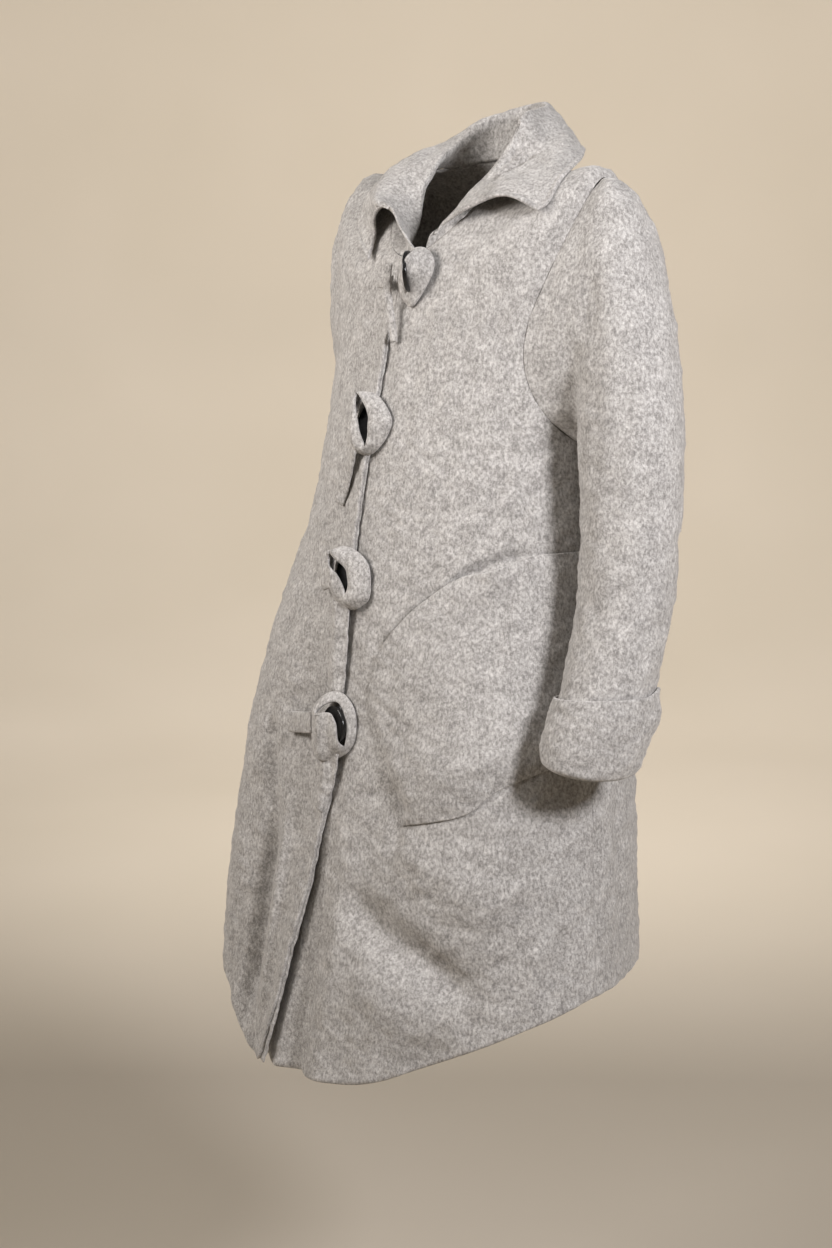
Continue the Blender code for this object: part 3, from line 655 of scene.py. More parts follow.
# %% Sleeve rings
SLEEVE_LEFT = np.array([
    # under_x, under_z, top_x, top_z, y, front, back
    (0.1985, -0.266, 0.227, -0.004, -0.004, 0.060, 0.074),
    (0.204, -0.278, 0.252, -0.034, -0.006, 0.052, 0.068),
    (0.209, -0.302, 0.280, -0.100, -0.010, 0.054, 0.066),
    (0.213, -0.330, 0.304, -0.175, -0.015, 0.054, 0.063),
    (0.218, -0.368, 0.321, -0.252, -0.021, 0.051, 0.058),
    (0.224, -0.408, 0.331, -0.332, -0.030, 0.048, 0.055),
    (0.231, -0.450, 0.337, -0.408, -0.042, 0.047, 0.053),
    (0.237, -0.495, 0.339, -0.475, -0.058, 0.048, 0.052),
    (0.242, -0.538, 0.337, -0.532, -0.074, 0.049, 0.050),
    (0.246, -0.582, 0.327, -0.597, -0.088, 0.050, 0.043),
])
SLEEVE_RIGHT = np.array([
    # under_x, under_z, top_x, top_z, y, front, back
    (0.1985, -0.266, 0.216, -0.004, 0.000, 0.056, 0.064),
    (0.204, -0.278, 0.232, -0.034, 0.006, 0.051, 0.064),
    (0.206, -0.302, 0.247, -0.104, 0.016, 0.047, 0.061),
    (0.206, -0.330, 0.262, -0.184, 0.027, 0.045, 0.058),
    (0.207, -0.368, 0.276, -0.262, 0.033, 0.046, 0.054),
    (0.211, -0.408, 0.290, -0.340, 0.036, 0.047, 0.052),
    (0.219, -0.450, 0.302, -0.412, 0.035, 0.048, 0.051),
    (0.229, -0.495, 0.313, -0.478, 0.030, 0.049, 0.051),
    (0.238, -0.540, 0.322, -0.532, 0.024, 0.050, 0.051),
    (0.244, -0.588, 0.330, -0.588, 0.018, 0.050, 0.050),
])
SLEEVE_ROWS = 150
SLEEVE_CREASES = (
    # turn and ring at both ends, half_width, height; turn 0 is under the arm and 0.25 in front
    (0.34, 1.2, 0.26, 4.2, 0.016, -0.0030),
    (0.40, 1.6, 0.31, 4.6, 0.014, 0.0020),
    (0.26, 6.3, 0.44, 5.6, 0.012, -0.0030),
    (0.25, 6.9, 0.46, 6.1, 0.011, 0.0026),
    (0.24, 7.3, 0.40, 6.8, 0.010, -0.0026),
    (0.36, 7.6, 0.47, 7.3, 0.004, -0.0012),
    (0.62, 2.0, 0.72, 4.4, 0.014, -0.0040),
    (0.58, 6.2, 0.76, 6.7, 0.012, -0.0032),
    (0.60, 7.0, 0.80, 7.4, 0.011, 0.0026),
    (0.86, 3.4, 0.98, 4.4, 0.010, -0.0026),
)


def sleeve_rings(table, side, at):
    """Sleeve rings at row numbers 'at', each starting under the arm and going up its front."""
    row = spline(table, at)
    turn = 2 * np.pi * np.arange(2 * ROWS_ARMHOLE) / (2 * ROWS_ARMHOLE)
    under = np.stack([side * row[:, 0], row[:, 4], row[:, 1]], axis=-1)
    top = np.stack([side * row[:, 2], row[:, 4], row[:, 3]], axis=-1)
    depth = -np.sin(turn)[None, :] * np.where(np.sin(turn) > 0, row[:, 5:6], row[:, 6:7])
    ring = 0.5 * (under + top)[:, None, :] - np.cos(turn)[None, :, None] * 0.5 * (top - under)[:, None, :]
    ring[..., 1] += depth
    return ring


def armhole_loop(side):
    """Points and normals of an armhole, up its front and down its back."""
    rows = armhole_levels()
    front, behind = 90.0 - armhole(rows), 90.0 + armhole(rows, back=True)
    angle = side * np.concatenate([front, behind[-2:0:-1]])
    level = np.concatenate([rows, rows[-2:0:-1]])
    return body(angle, level), body_normal(angle, level)


def sleeve_grid(table, side, at):
    """Points and outward normals of a sleeve at places 0, the armhole, to the last ring."""
    rings = sleeve_rings(table, side, np.arange(len(table)))
    loop, out = armhole_loop(side)
    inward = loop.mean(axis=0) - loop
    inward = unit(inward - np.sum(inward * out, axis=-1, keepdims=True) * out)
    crown = np.clip(-np.cos(2 * np.pi * np.arange(len(loop)) / len(loop)), 0, 1)[:, None] ** 4
    rings[0] = crown * rings[0] + (1 - crown) * 0.5 * (loop + rings[1])
    guides = np.concatenate([(loop + 0.2 * SEAM * inward)[None], rings])
    grid = spline(guides.reshape(len(guides), -1), at).reshape(len(at), -1, 3)
    normals = -side * grid_normals(grid, closed=True)
    lean = np.maximum(np.sum(normals[0] * inward, axis=-1, keepdims=True), 0)
    return grid, eased(normals, unit(normals[0] - lean * inward), closed=True)


def sleeve_creases(grid, at):
    """Creases of a sleeve as lines on its grid."""
    lines = []
    columns = grid.shape[1]
    for turn_0, ring_0, turn_1, ring_1, width, height in SLEEVE_CREASES:
        part = np.linspace(0, 1, CREASE_STEPS)
        column = ((turn_0 + (turn_1 - turn_0) * part) * columns).astype(int) % columns
        row = np.searchsorted(at, ring_0 + (ring_1 - ring_0) * part).clip(0, len(at) - 1)
        lines.append((grid[row, column], width, height, 0.3))
    return lines


# %% Sleeves
def make_sleeve(name, table, side):
    at = np.concatenate([[0.0, 0.02], np.linspace(0, 1, 13)[1:-1], np.linspace(1, len(table), SLEEVE_ROWS)])
    grid, normals = sleeve_grid(table, side, at)
    height = crease_height(grid, sleeve_creases(grid, at)) * smooth(at / 1.5)[:, None] + felt_height(grid)
    height = height + 0.4 * seam_dip(row_lengths(grid, 0))
    outer = grid + height[..., None] * normals
    inner = grid - WALL * normals
    return wear(cloth_sheet(name, outer, inner, closed=True, push=(0.0012, 0, 0, 0)), name)


make_sleeve("sleeve_left", SLEEVE_LEFT, 1)
make_sleeve("sleeve_right", SLEEVE_RIGHT, -1)

# %% [markdown]
# ## Turn-back cuffs
# The end of each sleeve is folded out and back up. The cuff therefore has a soft fold at the wrist and
# a free upper edge that stands a little off the sleeve and lifts where it overlaps itself.

# %% Cuffs
CUFF_TOP = 0.865
CUFF_FLARE = 0.0012
CUFF_FULL = 0.0045
CUFF_ROLL = 0.2
CUFF_LIFT = 0.006
CUFF_ROWS = 44
CUFF_DROP = 0.005


def make_cuff(name, table, side):
    last = len(table) - 1
    at = np.linspace(CUFF_TOP * last, last, CUFF_ROWS + 1)
    rings = sleeve_rings(table, side, at)
    normals = -side * grid_normals(rings, closed=True)
    part = np.linspace(1, 0, CUFF_ROWS + 1)[:, None]
    turn = np.arange(rings.shape[1])[None, :] / rings.shape[1]
    behind = np.exp(-(((turn - 0.63) / 0.07) ** 2))
    flare = LAID + CUFF_FLARE * part + CUFF_FULL * np.sin(0.5 * np.pi * np.clip((1 - part) / 0.7, 0, 1))
    flare = flare + CUFF_LIFT * behind * np.exp(-(((part - 0.66) / 0.22) ** 2))
    rounding = np.clip(1 - part / CUFF_ROLL, 0, 1)
    flare = flare - (CUFF_FULL + 0.001) * (1 - np.sqrt(1 - rounding**2))
    rings[..., 2] += 0.007 * behind * part**3 - CUFF_DROP * (1 - part)
    lining = rings + flare[..., None] * normals
    outer = lining + (WALL + felt_height(lining))[..., None] * normals
    return wear(cloth_sheet(name, outer, lining, closed=True, push=(0.0008, 0.0016, 0, 0)), name)


make_cuff("cuff_left", SLEEVE_LEFT, 1)
make_cuff("cuff_right", SLEEVE_RIGHT, -1)

# %% [markdown]
# ## Collar
# The collar is one wide strip sewn to the neck. It rises as a stand, rolls over and falls on the
# shoulders. Each station of the table gives four points down the fall: the roll, the hollow below it,
# the full part and the free edge, from the left front end round the back to the right front end. The
# right end stands up as an arch, and a row of sewing lies just inside the edge.

# %% Collar
COLLAR_ROWS = np.array([
    # angle; roll, hollow, full and edge, each x, y, z
    (20.0, 0.046, -0.087, -0.047, 0.086, -0.085, -0.030, 0.132, -0.076, -0.018, 0.170, -0.064, -0.033),
    (31.0, 0.054, -0.061, -0.017, 0.080, -0.055, -0.006, 0.130, -0.053, -0.003, 0.174, -0.052, -0.025),
    (46.0, 0.062, -0.031, 0.014, 0.088, -0.031, 0.009, 0.128, -0.027, 0.010, 0.168, -0.029, -0.002),
    (66.0, 0.070, -0.011, 0.044, 0.094, -0.007, 0.024, 0.126, -0.004, 0.025, 0.154, 0.001, 0.013),
    (90.0, 0.066, 0.010, 0.070, 0.090, 0.018, 0.044, 0.117, 0.021, 0.036, 0.140, 0.024, 0.023),
    (130.0, 0.046, 0.056, 0.080, 0.060, 0.060, 0.070, 0.077, 0.064, 0.054, 0.090, 0.068, 0.034),
    (180.0, 0.000, 0.080, 0.086, 0.000, 0.092, 0.078, 0.000, 0.104, 0.056, 0.000, 0.111, 0.028),
    (230.0, -0.056, 0.052, 0.070, -0.074, 0.058, 0.060, -0.092, 0.066, 0.044, -0.104, 0.072, 0.024),
    (270.0, -0.080, 0.018, 0.041, -0.102, 0.016, 0.040, -0.126, 0.010, 0.032, -0.141, 0.006, 0.021),
    (302.0, -0.086, -0.025, 0.021, -0.113, -0.024, 0.022, -0.131, -0.028, 0.008, -0.138, -0.036, -0.006),
    (330.0, -0.078, -0.067, -0.005, -0.104, -0.068, -0.010, -0.118, -0.070, -0.028, -0.117, -0.078, -0.046),
    (352.0, -0.056, -0.096, -0.021, -0.082, -0.086, -0.028, -0.091, -0.086, -0.048, -0.087, -0.096, -0.067),
    (371.0, -0.033, -0.100, -0.026, -0.060, -0.097, -0.035, -0.067, -0.092, -0.058, -0.062, -0.105, -0.083),
])
COLLAR_COLUMNS, COLLAR_STEPS = 230, 74
STAND_BOW = 0.005
STAND_LEAN = ((220, 0.0), (270, 0.020), (302, 0.030), (330, 0.040), (352, 0.036), (371, 0.0))
COLLAR_CREASES = (
    # stations and guides along the line, half_width, height
    (((0.9, 3.0), (1.5, 3.0), (2.2, 3.0), (3.0, 3.05), (3.5, 3.5), (4.1, 4.2)), 0.0035, -0.0030),
    (((0.9, 3.3), (1.5, 3.3), (2.2, 3.35), (3.0, 3.5), (3.5, 4.0), (4.1, 4.7)), 0.0060, 0.0022),
)
SEWN_INSET = 0.0068


def make_collar():
    row = spline(COLLAR_ROWS, np.linspace(0, len(COLLAR_ROWS) - 1, COLLAR_COLUMNS + 1))
    out = body_normal(row[:, 0], NECK)
    away = unit(body(row[:, 0], NECK) - body(row[:, 0], NECK - 0.05))
    base = body(row[:, 0], NECK) + 2.0 * SEAM * away
    turned = np.radians(row[:, 0])
    round_neck = np.stack([np.sin(turned), -np.cos(turned), 0 * turned], axis=-1)
    lean = np.interp(row[:, 0], *np.array(STAND_LEAN).T)[:, None]
    stand = 0.5 * (base + row[:, 1:4]) + STAND_BOW * out - lean * round_neck
    guides = np.stack([base, stand, row[:, 1:4], row[:, 4:7], row[:, 7:10], row[:, 10:13]])
    steps = 5 * (1 - (1 - np.linspace(0, 1, COLLAR_STEPS + 1)) ** 1.35)
    grid = spline(guides.reshape(6, -1), steps).reshape(COLLAR_STEPS + 1, -1, 3)
    normals = grid_normals(grid)
    if np.sum(normals[0] * out) < 0:
        normals = -normals
    normals = eased(normals, out)
    across, along = row_lengths(grid, 1), row_lengths(grid, 0)
    ends = np.minimum(across, across[:, -1:] - across) + 0.03 * (steps < 2.2)[:, None]
    inset = np.minimum(ends, along[-1:] - along)
    sewn = SEWN_DEEP * np.exp(-(((inset - SEWN_INSET) / SEWN_WIDE) ** 2))
    wall = WALL + 0.0008 * np.exp(-((inset / 0.004) ** 2)) - sewn + felt_height(grid)
    lines = []
    for way, width, height in COLLAR_CREASES:
        station, guide = spline(np.array(way), np.linspace(0, len(way) - 1, 24)).T
        column = np.round(station / (len(COLLAR_ROWS) - 1) * COLLAR_COLUMNS).astype(int)
        lines.append((grid[np.searchsorted(steps, guide), column], width, height, 0.12))
    wall = wall + crease_height(grid, lines)
    under = grid - wall[..., None] * normals
    return wear(cloth_sheet("collar", grid, under, push=(0, 0.0014, 0.0014, 0.0014)), "collar")


make_collar()

# %% [markdown]
# ## Patch pockets
# A large curved pocket is sewn on each front. Its points are the coat's own points moved outward, so
# it follows every fold below it. The left one's edges are pressed down, its middle is full, its mouth
# droops open and its lower part sags over the seam. The right one lies nearly flat with thin edges.

# %% Pockets
POCKET_BULGE, POCKET_LIP, POCKET_SAG = 0.005, 0.006, 0.004
MOUTH = (0.42, 0.86)
POCKET_DROOP = 0.085
POCKET_COLUMNS, POCKET_ROWS = 100, 84
RIGHT_FULL, RIGHT_LIP = 0.1, 1 / 12
PRESSED = {1: 0.0012, -1: 0.0024}
PRESS_REACH = {1: 0.005, -1: 0.025}
SUNK = {1: 0.0, -1: 0.0010}


def crowded(count):
    """Places from 0 to 1 that lie closer together at both ends."""
    even = np.linspace(0, 1, count)
    return 0.35 * even + 0.65 * (0.5 - 0.5 * np.cos(np.pi * even))


def outline(points, places):
    """Points along a short outline at places from 0 to 1."""
    return spline(np.array(points), places * (len(points) - 1))


def patch(columns, rows):
    """Pocket grid of angles and levels between its outlines and the side seam."""
    u_edge, v_edge = crowded(columns + 1), crowded(rows + 1)
    low, high = outline(POCKET_BOTTOM, u_edge), outline(POCKET_TOP, u_edge)
    start = outline(POCKET_LEFT, v_edge)
    stop = low[-1] + (high[-1] - low[-1]) * v_edge[:, None]
    u, v = u_edge[None, :, None], v_edge[:, None, None]
    ruled = (1 - v) * low[None] + v * high[None] + (1 - u) * start[:, None] + u * stop[:, None]
    corners = (1 - u) * (1 - v) * low[0] + u * (1 - v) * low[-1] + (1 - u) * v * high[0] + u * v * high[-1]
    return ruled - corners, u[..., 0], v[..., 0]


def make_pocket(name, side, lip):
    grid, u, v = patch(POCKET_COLUMNS, POCKET_ROWS)
    mouth = np.sin(np.pi * np.clip((u - MOUTH[0]) / (MOUTH[1] - MOUTH[0]), 0, 1)) ** 2
    droop = lip / POCKET_LIP * POCKET_DROOP * mouth * smooth((v - 0.7) / 0.3)
    base, normal = coat(side * grid[..., 0], grid[..., 1] - droop, side)
    full = np.sin(np.pi * u) * np.sin(np.pi * v)
    sag = POCKET_SAG * np.sin(np.pi * np.clip(v / 0.3, 0, 1)) * smooth(u / 0.1) * smooth((1 - u) / 0.3)
    lift = 0.4 * LAID + (POCKET_BULGE * full + sag) * (1.0 if side > 0 else RIGHT_FULL)
    lift = lift + lip * mouth * smooth((v - 0.75) / 0.25)
    across, along = row_lengths(base, 1), row_lengths(base, 0)
    off_top = along[-1:] - along
    off = np.minimum(np.minimum(across, along), off_top + 0.02 * mouth)
    near_edge = np.exp(-((off / PRESS_REACH[side]) ** 2))
    wall = WALL - PRESSED[side] * near_edge
    wall = wall + 0.0016 * lip / POCKET_LIP * mouth * np.exp(-((off_top / 0.005) ** 2))
    lift = lift - SUNK[side] * near_edge
    under = base + lift[..., None] * normal
    outer = under + wall[..., None] * normal
    return wear(cloth_sheet(name, outer, under, push=(0.0004, 0.0010, 0.0004, 0)), name)


make_pocket("pocket_left", 1, POCKET_LIP)
make_pocket("pocket_right", -1, POCKET_LIP * RIGHT_LIP)

# %% [markdown]
# ## Behind the front opening
# Inside the right front's edge lies a second layer, so that edge shows two lines. A strip of the same
# cloth lies behind both edges and fills the slit that opens below the last button.

# %% Facing and underlap
FACING_WIDTH = 0.030
UNDERLAP_RIGHT, UNDERLAP_LEFT = 0.060, 0.034
RECESS_RIGHT, RECESS_LEFT = 0.007, 0.004
OPENING_ROWS = 190


def strip_grid(start, stop, columns):
    """Angles and levels of a strip between two distances from the centre line."""
    rows = np.linspace(0.02, OPENING_TOP, OPENING_ROWS + 1)
    right, left = edge_columns(rows)[:2]
    width = spline(BODY_ROWS, rows)[:, 3]
    first, last = start(right, left), stop(right, left)
    x = first[:, None] + (last - first)[:, None] * np.linspace(0, 1, columns + 1)[None, :]
    return x, np.degrees(np.arcsin(x / width[:, None])), np.repeat(rows[:, None], columns + 1, 1), right, left


def make_facing():
    grid = strip_grid(lambda right, left: right, lambda right, left: right - FACING_WIDTH, 8)
    points, normal = coat(grid[1], grid[2], -1)
    outer = points - (WALL + 0.3 * LAID) * normal
    return wear(cloth_sheet("facing_right", outer, outer - WALL * normal, push=(EDGE_ROLL, 0, EDGE_ROLL, 0)),
                "facing_right")


def make_underlap():
    x, angle, level, right, left = strip_grid(
        lambda right, left: right - UNDERLAP_RIGHT, lambda right, left: left + UNDERLAP_LEFT, 26)
    right_points, right_normal = coat(angle, level, -1)
    left_points, left_normal = coat(angle, level, 1)
    behind_right = right_points - (2 * WALL + 2 * LAID) * right_normal
    behind_left = left_points - (WALL + LAID) * left_normal
    blend = smooth((x - right[:, None]) / np.maximum(left - right, 0.016)[:, None])[..., None]
    outer = behind_right * (1 - blend) + behind_left * blend
    deep = smooth((1.9 - level) / 0.9)[..., None] * (RECESS_RIGHT * (1 - blend) + RECESS_LEFT * blend)
    outer = outer - deep * left_normal
    inner = outer - WALL * grid_normals(outer)
    return wear(cloth_sheet("underlap", outer, inner, push=(EDGE_ROLL, 0, 0, 0)), "underlap")


make_facing()
make_underlap()

# %% [markdown]
# ## Closures
# Each closure is a wool tab with a slit. A black disc lies in the slit with the wool lips round it, a
# tail hangs below and a short stub is sewn to the right front.

# %% Closure forms
TAB_WALL = 0.0025
TAB_STEPS, TAB_BANDS = 104, 16
LAP_START, LAP_BLEND = 0.010, 0.018
BUTTON_RADIUS, BUTTON_THICK, BUTTON_ROUND = 0.022, 0.0045, 0.0012
RIM_WIDE, DISH_WIDE, DISH_DEEP = 0.004, 0.0015, 0.0007
CLOSURES = (
    # Points are (right, up, out) from the centre front in millimetres. Each loop runs from the right
    # over the top to the left and back along the bottom.
    {
        "level": 7.70, "full": 2.2, "button": (31, 3, 16), "tilt": (52, 12),
        "slit": ((44, 4, 34), (42, 13, 31), (34, 20, 19), (31, 15, 21), (34, 4, 22), (33, -6, 18),
                 (27, -15, 9), (38, -8, 21)),
        "edge": ((58, -2, 7), (50, 14, 9), (28, 26, 13), (13, 18, 11), (7, 3, 9), (11, -14, 7), (29, -31, 4),
                 (46, -20, 5)),
        "tail": ((6, 12, 22, 8, -20), (7, -10, 19, 8, -24), (9, -30, 14, 8, -26), (15, -68, 4, 8, -20)),
        "stub": ((6, -4, 13, 11, 0), (-8, -5, 9, 10, 0), (-30, -6, 4.5, 10, 0)),
    },
    {
        "level": 5.32, "full": 6, "button": (0, -4, 4.5), "tilt": (3, 0),
        "slit": ((7, -3, 16), (1, 12, 16.5), (-8, 25, 20), (-4, 10, 24), (0, -4, 23.5), (3, -18, 21),
                 (7, -31, 14), (8, -17, 15)),
        "edge": ((31, -2, 3), (19, 16, 4), (-5, 30, 9), (-30, 20, 4), (-36, -2, 4), (-30, -26, 4),
                 (0, -39, 4), (21, -26, 3)),
        "tail": ((-11, -18, 16, 22, -4), (-16, -32, 11, 22, -6), (-25, -52, 6, 21, -8), (-35, -74, 3, 19, -8),
                 (-42, -94, 1.5, 17, -6)),
        "stub": ((-16, 8, 12, 15, 0), (-28, 12, 10.5, 14, 0), (-40, 15, 8.5, 12, 0)),
    },
    {
        "level": 3.60, "full": 6, "button": (2, 4, 7), "tilt": (2, 4),
        "slit": ((10, 0, 16.5), (2, 13, 17.5), (-14, 25, 22), (-9, 14, 24), (1, 4, 24.5), (6, -6, 22),
                 (11, -16, 18), (12, -9, 16)),
        "edge": ((36, -4, 5), (27, 21, 6), (0, 33, 9), (-28, 27, 5), (-38, 9, 4), (-28, -14, 5), (6, -34, 7),
                 (32, -24, 5)),
        "tail": ((-2, -28, 10, 22, 0), (-3, -50, 6.5, 23, 0), (-5, -80, 4, 26, 0), (-8, -124, 2, 28, 0)),
        "stub": ((-16, 2, 14, 24, 0), (-30, -3, 11, 24, 0), (-46, -8, 7, 22, 0)),
    },
    {
        "level": 2.415, "full": 2.2, "button": (5, 0, 11.5), "tilt": (6, 4),
        "slit": ((25, 2, 10), (18, 19, 11), (1, 26, 12), (-13, 13, 21), (6, 14.5, 21.5), (18, 4, 20.5),
                 (21, -14, 18), (24, -19, 10)),
        "edge": ((33, 2, 3), (23, 27, 3.5), (-4, 37, 6), (-26, 20, 16), (-27, -2, 19), (-20, -30, 16),
                 (-3, -40, 11), (25, -25, 3)),
        "tail": ((2, -28, 10, 25, 0), (-2, -45, 6, 26, 0), (-8, -66, 3, 26, 0), (-16, -92, 1.8, 25, 0)),
        "stub": ((-24, 0, 19, 22, 0), (-40, -3, 13, 22, 0), (-60, -6, 7, 22, 0), (-78, -9, 4, 21, 0)),
    },
)


def closure_frame(level):
    """Right, up and outward directions on the centre front."""
    out = body_normal(0.0, level)
    right = np.array([1.0, 0.0, 0.0])
    return np.stack([right, np.cross(out, right), out])


def on_coat(local, level):
    """Local points with their height measured from the coat, blended across its front edges."""
    local = np.asarray(local)
    axes = closure_frame(level)
    rows = np.linspace(0, NECK, 181)
    steps = np.linalg.norm(np.diff(body(np.zeros(181), rows), axis=0), axis=1)
    length = np.concatenate([[0.0], np.cumsum(steps)])
    along = np.interp(level, rows, length) + local[..., 1]
    levels_at = np.interp(along, length, rows)
    angle = np.degrees(np.arcsin(local[..., 0] / spline(BODY_ROWS, levels_at)[..., 3]))
    share = smooth((local[..., 0] + LAP_START) / LAP_BLEND)[..., None]
    ground = share * body(angle, levels_at, 1) + (1 - share) * body(angle, levels_at, -1)
    above = np.maximum(along - length[-1], 0.0)[..., None] * axes[1]
    return ground + above + local[..., 2:3] * axes[2]


def loop_points(points, count):
    """Smooth closed loop through a few points, in metres."""
    points = np.array(points) * MM
    padded = np.concatenate([points[-2:], points, points[:3]])
    return spline(padded, 2 + len(points) * np.arange(count) / count)


# %% Tabs, tails and stubs
def make_tab(name, level, slit, edge, full):
    """Wool loop round a slit, its two lips full and rolled at their rims."""
    inside, outside = loop_points(slit, TAB_STEPS), loop_points(edge, TAB_STEPS)
    part = np.linspace(0, 1, TAB_BANDS + 1)[:, None, None]
    face = (1 - part) * inside + part * outside
    face[..., 2] += (full * MM * np.sin(np.pi * part) ** 0.7)[..., 0]
    outer = on_coat(face, level)
    normals = grid_normals(outer, closed=True)
    if np.sum(normals @ closure_frame(level)[2]) < 0:
        normals = -normals
    outer = outer + 0.5 * felt_height(outer)[..., None] * normals
    inner = outer - TAB_WALL * normals
    return wear(cloth_sheet(name, outer, inner, closed=True, push=(0.0010, 0.0010, 0, 0)), name)


def make_strip(name, level, stations):
    """Wool strip through stations of a point, a width and a twist in degrees."""
    stations = np.array(stations, float)
    row = spline(stations, np.linspace(0, len(stations) - 1, 40))
    middle, width, twist = row[:, :3] * MM, row[:, 3] * MM, np.radians(row[:, 4])
    along = unit(np.gradient(middle, axis=0))
    flat = unit(np.cross(np.array([0.0, 0.0, 1.0]), along))
    flat = np.where((flat @ np.array([1.0, 1.0, 0.0]) < 0)[:, None], -flat, flat)
    side = np.cos(twist)[:, None] * flat + np.sin(twist)[:, None] * np.array([0.0, 0.0, 1.0])
    part = np.linspace(-0.5, 0.5, 13)
    face = middle[:, None, :] + (part[None, :, None] * width[:, None, None]) * side[:, None, :]
    face[..., 2] += 0.0008 * np.cos(np.pi * part)
    outer = on_coat(face + [0, 0, TAB_WALL], level)
    normals = grid_normals(outer)
    if np.sum(normals @ closure_frame(level)[2]) < 0:
        normals = -normals
    outer = outer + felt_height(outer)[..., None] * normals
    return wear(cloth_sheet(name, outer, outer - TAB_WALL * normals, push=(0.0010,) * 4), name)


for number, form in enumerate(CLOSURES, start=1):
    make_tab(f"tab_{number}", form["level"], form["slit"], form["edge"], form["full"])
    make_strip(f"tail_{number}", form["level"], form["tail"])
    make_strip(f"stub_{number}", form["level"], form["stub"])

# %% [markdown]
# ## Buttons
# A button is a turned disc with rounded rims and a shallow dish on each face. It starts as a cylinder,
# its flat faces are inset and pushed in, and a bevel rounds every edge.

# %% Buttons


def make_button(number, form):
    bpy.ops.object.select_all(action="DESELECT")
    bpy.ops.mesh.primitive_cylinder_add(vertices=72, radius=BUTTON_RADIUS, depth=BUTTON_THICK)
    button = bpy.context.object
    button.name = button.data.name = f"disc_{number}"
    bpy.ops.object.mode_set(mode="EDIT")
    bpy.ops.mesh.select_mode(type="FACE")
    bpy.ops.mesh.select_all(action="DESELECT")
    bpy.ops.object.mode_set(mode="OBJECT")
    for face in button.data.polygons:
        face.select = abs(face.normal.z) > 0.9
    bpy.ops.object.mode_set(mode="EDIT")
    bpy.ops.mesh.inset(thickness=RIM_WIDE, depth=0)
    bpy.ops.mesh.inset(thickness=DISH_WIDE, depth=-DISH_DEEP)
    bpy.ops.object.mode_set(mode="OBJECT")
    soften = button.modifiers.new("rounded rims", "BEVEL")
    soften.width, soften.segments, soften.limit_method = BUTTON_ROUND, 4, "ANGLE"
    bpy.ops.object.modifier_apply(modifier=soften.name)
    bpy.ops.object.shade_smooth_by_angle(angle=math.radians(40))
    lean, nod = (math.radians(value) for value in form["tilt"])
    turned = Matrix.Rotation(-lean, 4, "Y") @ Matrix.Rotation(nod, 4, "X")
    axes = closure_frame(form["level"])
    stand = Matrix([list(column) for column in axes]).transposed().to_4x4()
    centre = Vector(on_coat(np.array(form["button"]) * MM, form["level"]))
    button.data.transform(Matrix.Translation(centre) @ stand @ turned)
    return wear(button, f"button_{number}", RESIN)


for number, form in enumerate(CLOSURES, start=1):
    make_button(number, form)
print("closures:", len(CLOSURES))

# %% [markdown]
# ## The nap
# Boiled wool is brushed, so short loose fibres stand off it and blur its outline. A hair system would
# be too heavy for a library part. Here each fibre is a bent ribbon of two faces, and all the fibres of
# one piece are one mesh. They are drawn about four times as wide as real ones, so fewer are needed.

# %% Loose fibres
FIBRES = {
    "front_left": 9000, "front_right": 6000, "back": 9000, "sleeve_left": 6000, "sleeve_right": 3000,
    "cuff_left": 1500, "cuff_right": 800, "collar": 5000, "pocket_left": 2400, "pocket_right": 1500,
}
FIBRE_LONG, FIBRE_RISE, FIBRE_WIDE = (0.0016, 0.0036), (0.0005, 0.0016), 0.00016
BOTH_SIDES = ("collar",)


def napped_corners(name):
    """Corners of the triangles that carry the nap of one piece of cloth."""
    mesh = bpy.data.objects[f"wool_{name}"].data
    points = np.empty(3 * len(mesh.vertices))
    mesh.vertices.foreach_get("co", points)
    points = points.reshape(-1, 3)
    mesh.calc_loop_triangles()
    tris = np.empty(3 * len(mesh.loop_triangles), int)
    mesh.loop_triangles.foreach_get("vertices", tris)
    tris = tris.reshape(-1, 3)
    if name not in BOTH_SIDES:
        tris = tris[np.all(tris < OUTER_POINTS[name], axis=1)]
    return points[tris[:, 0]], points[tris[:, 1]], points[tris[:, 2]]


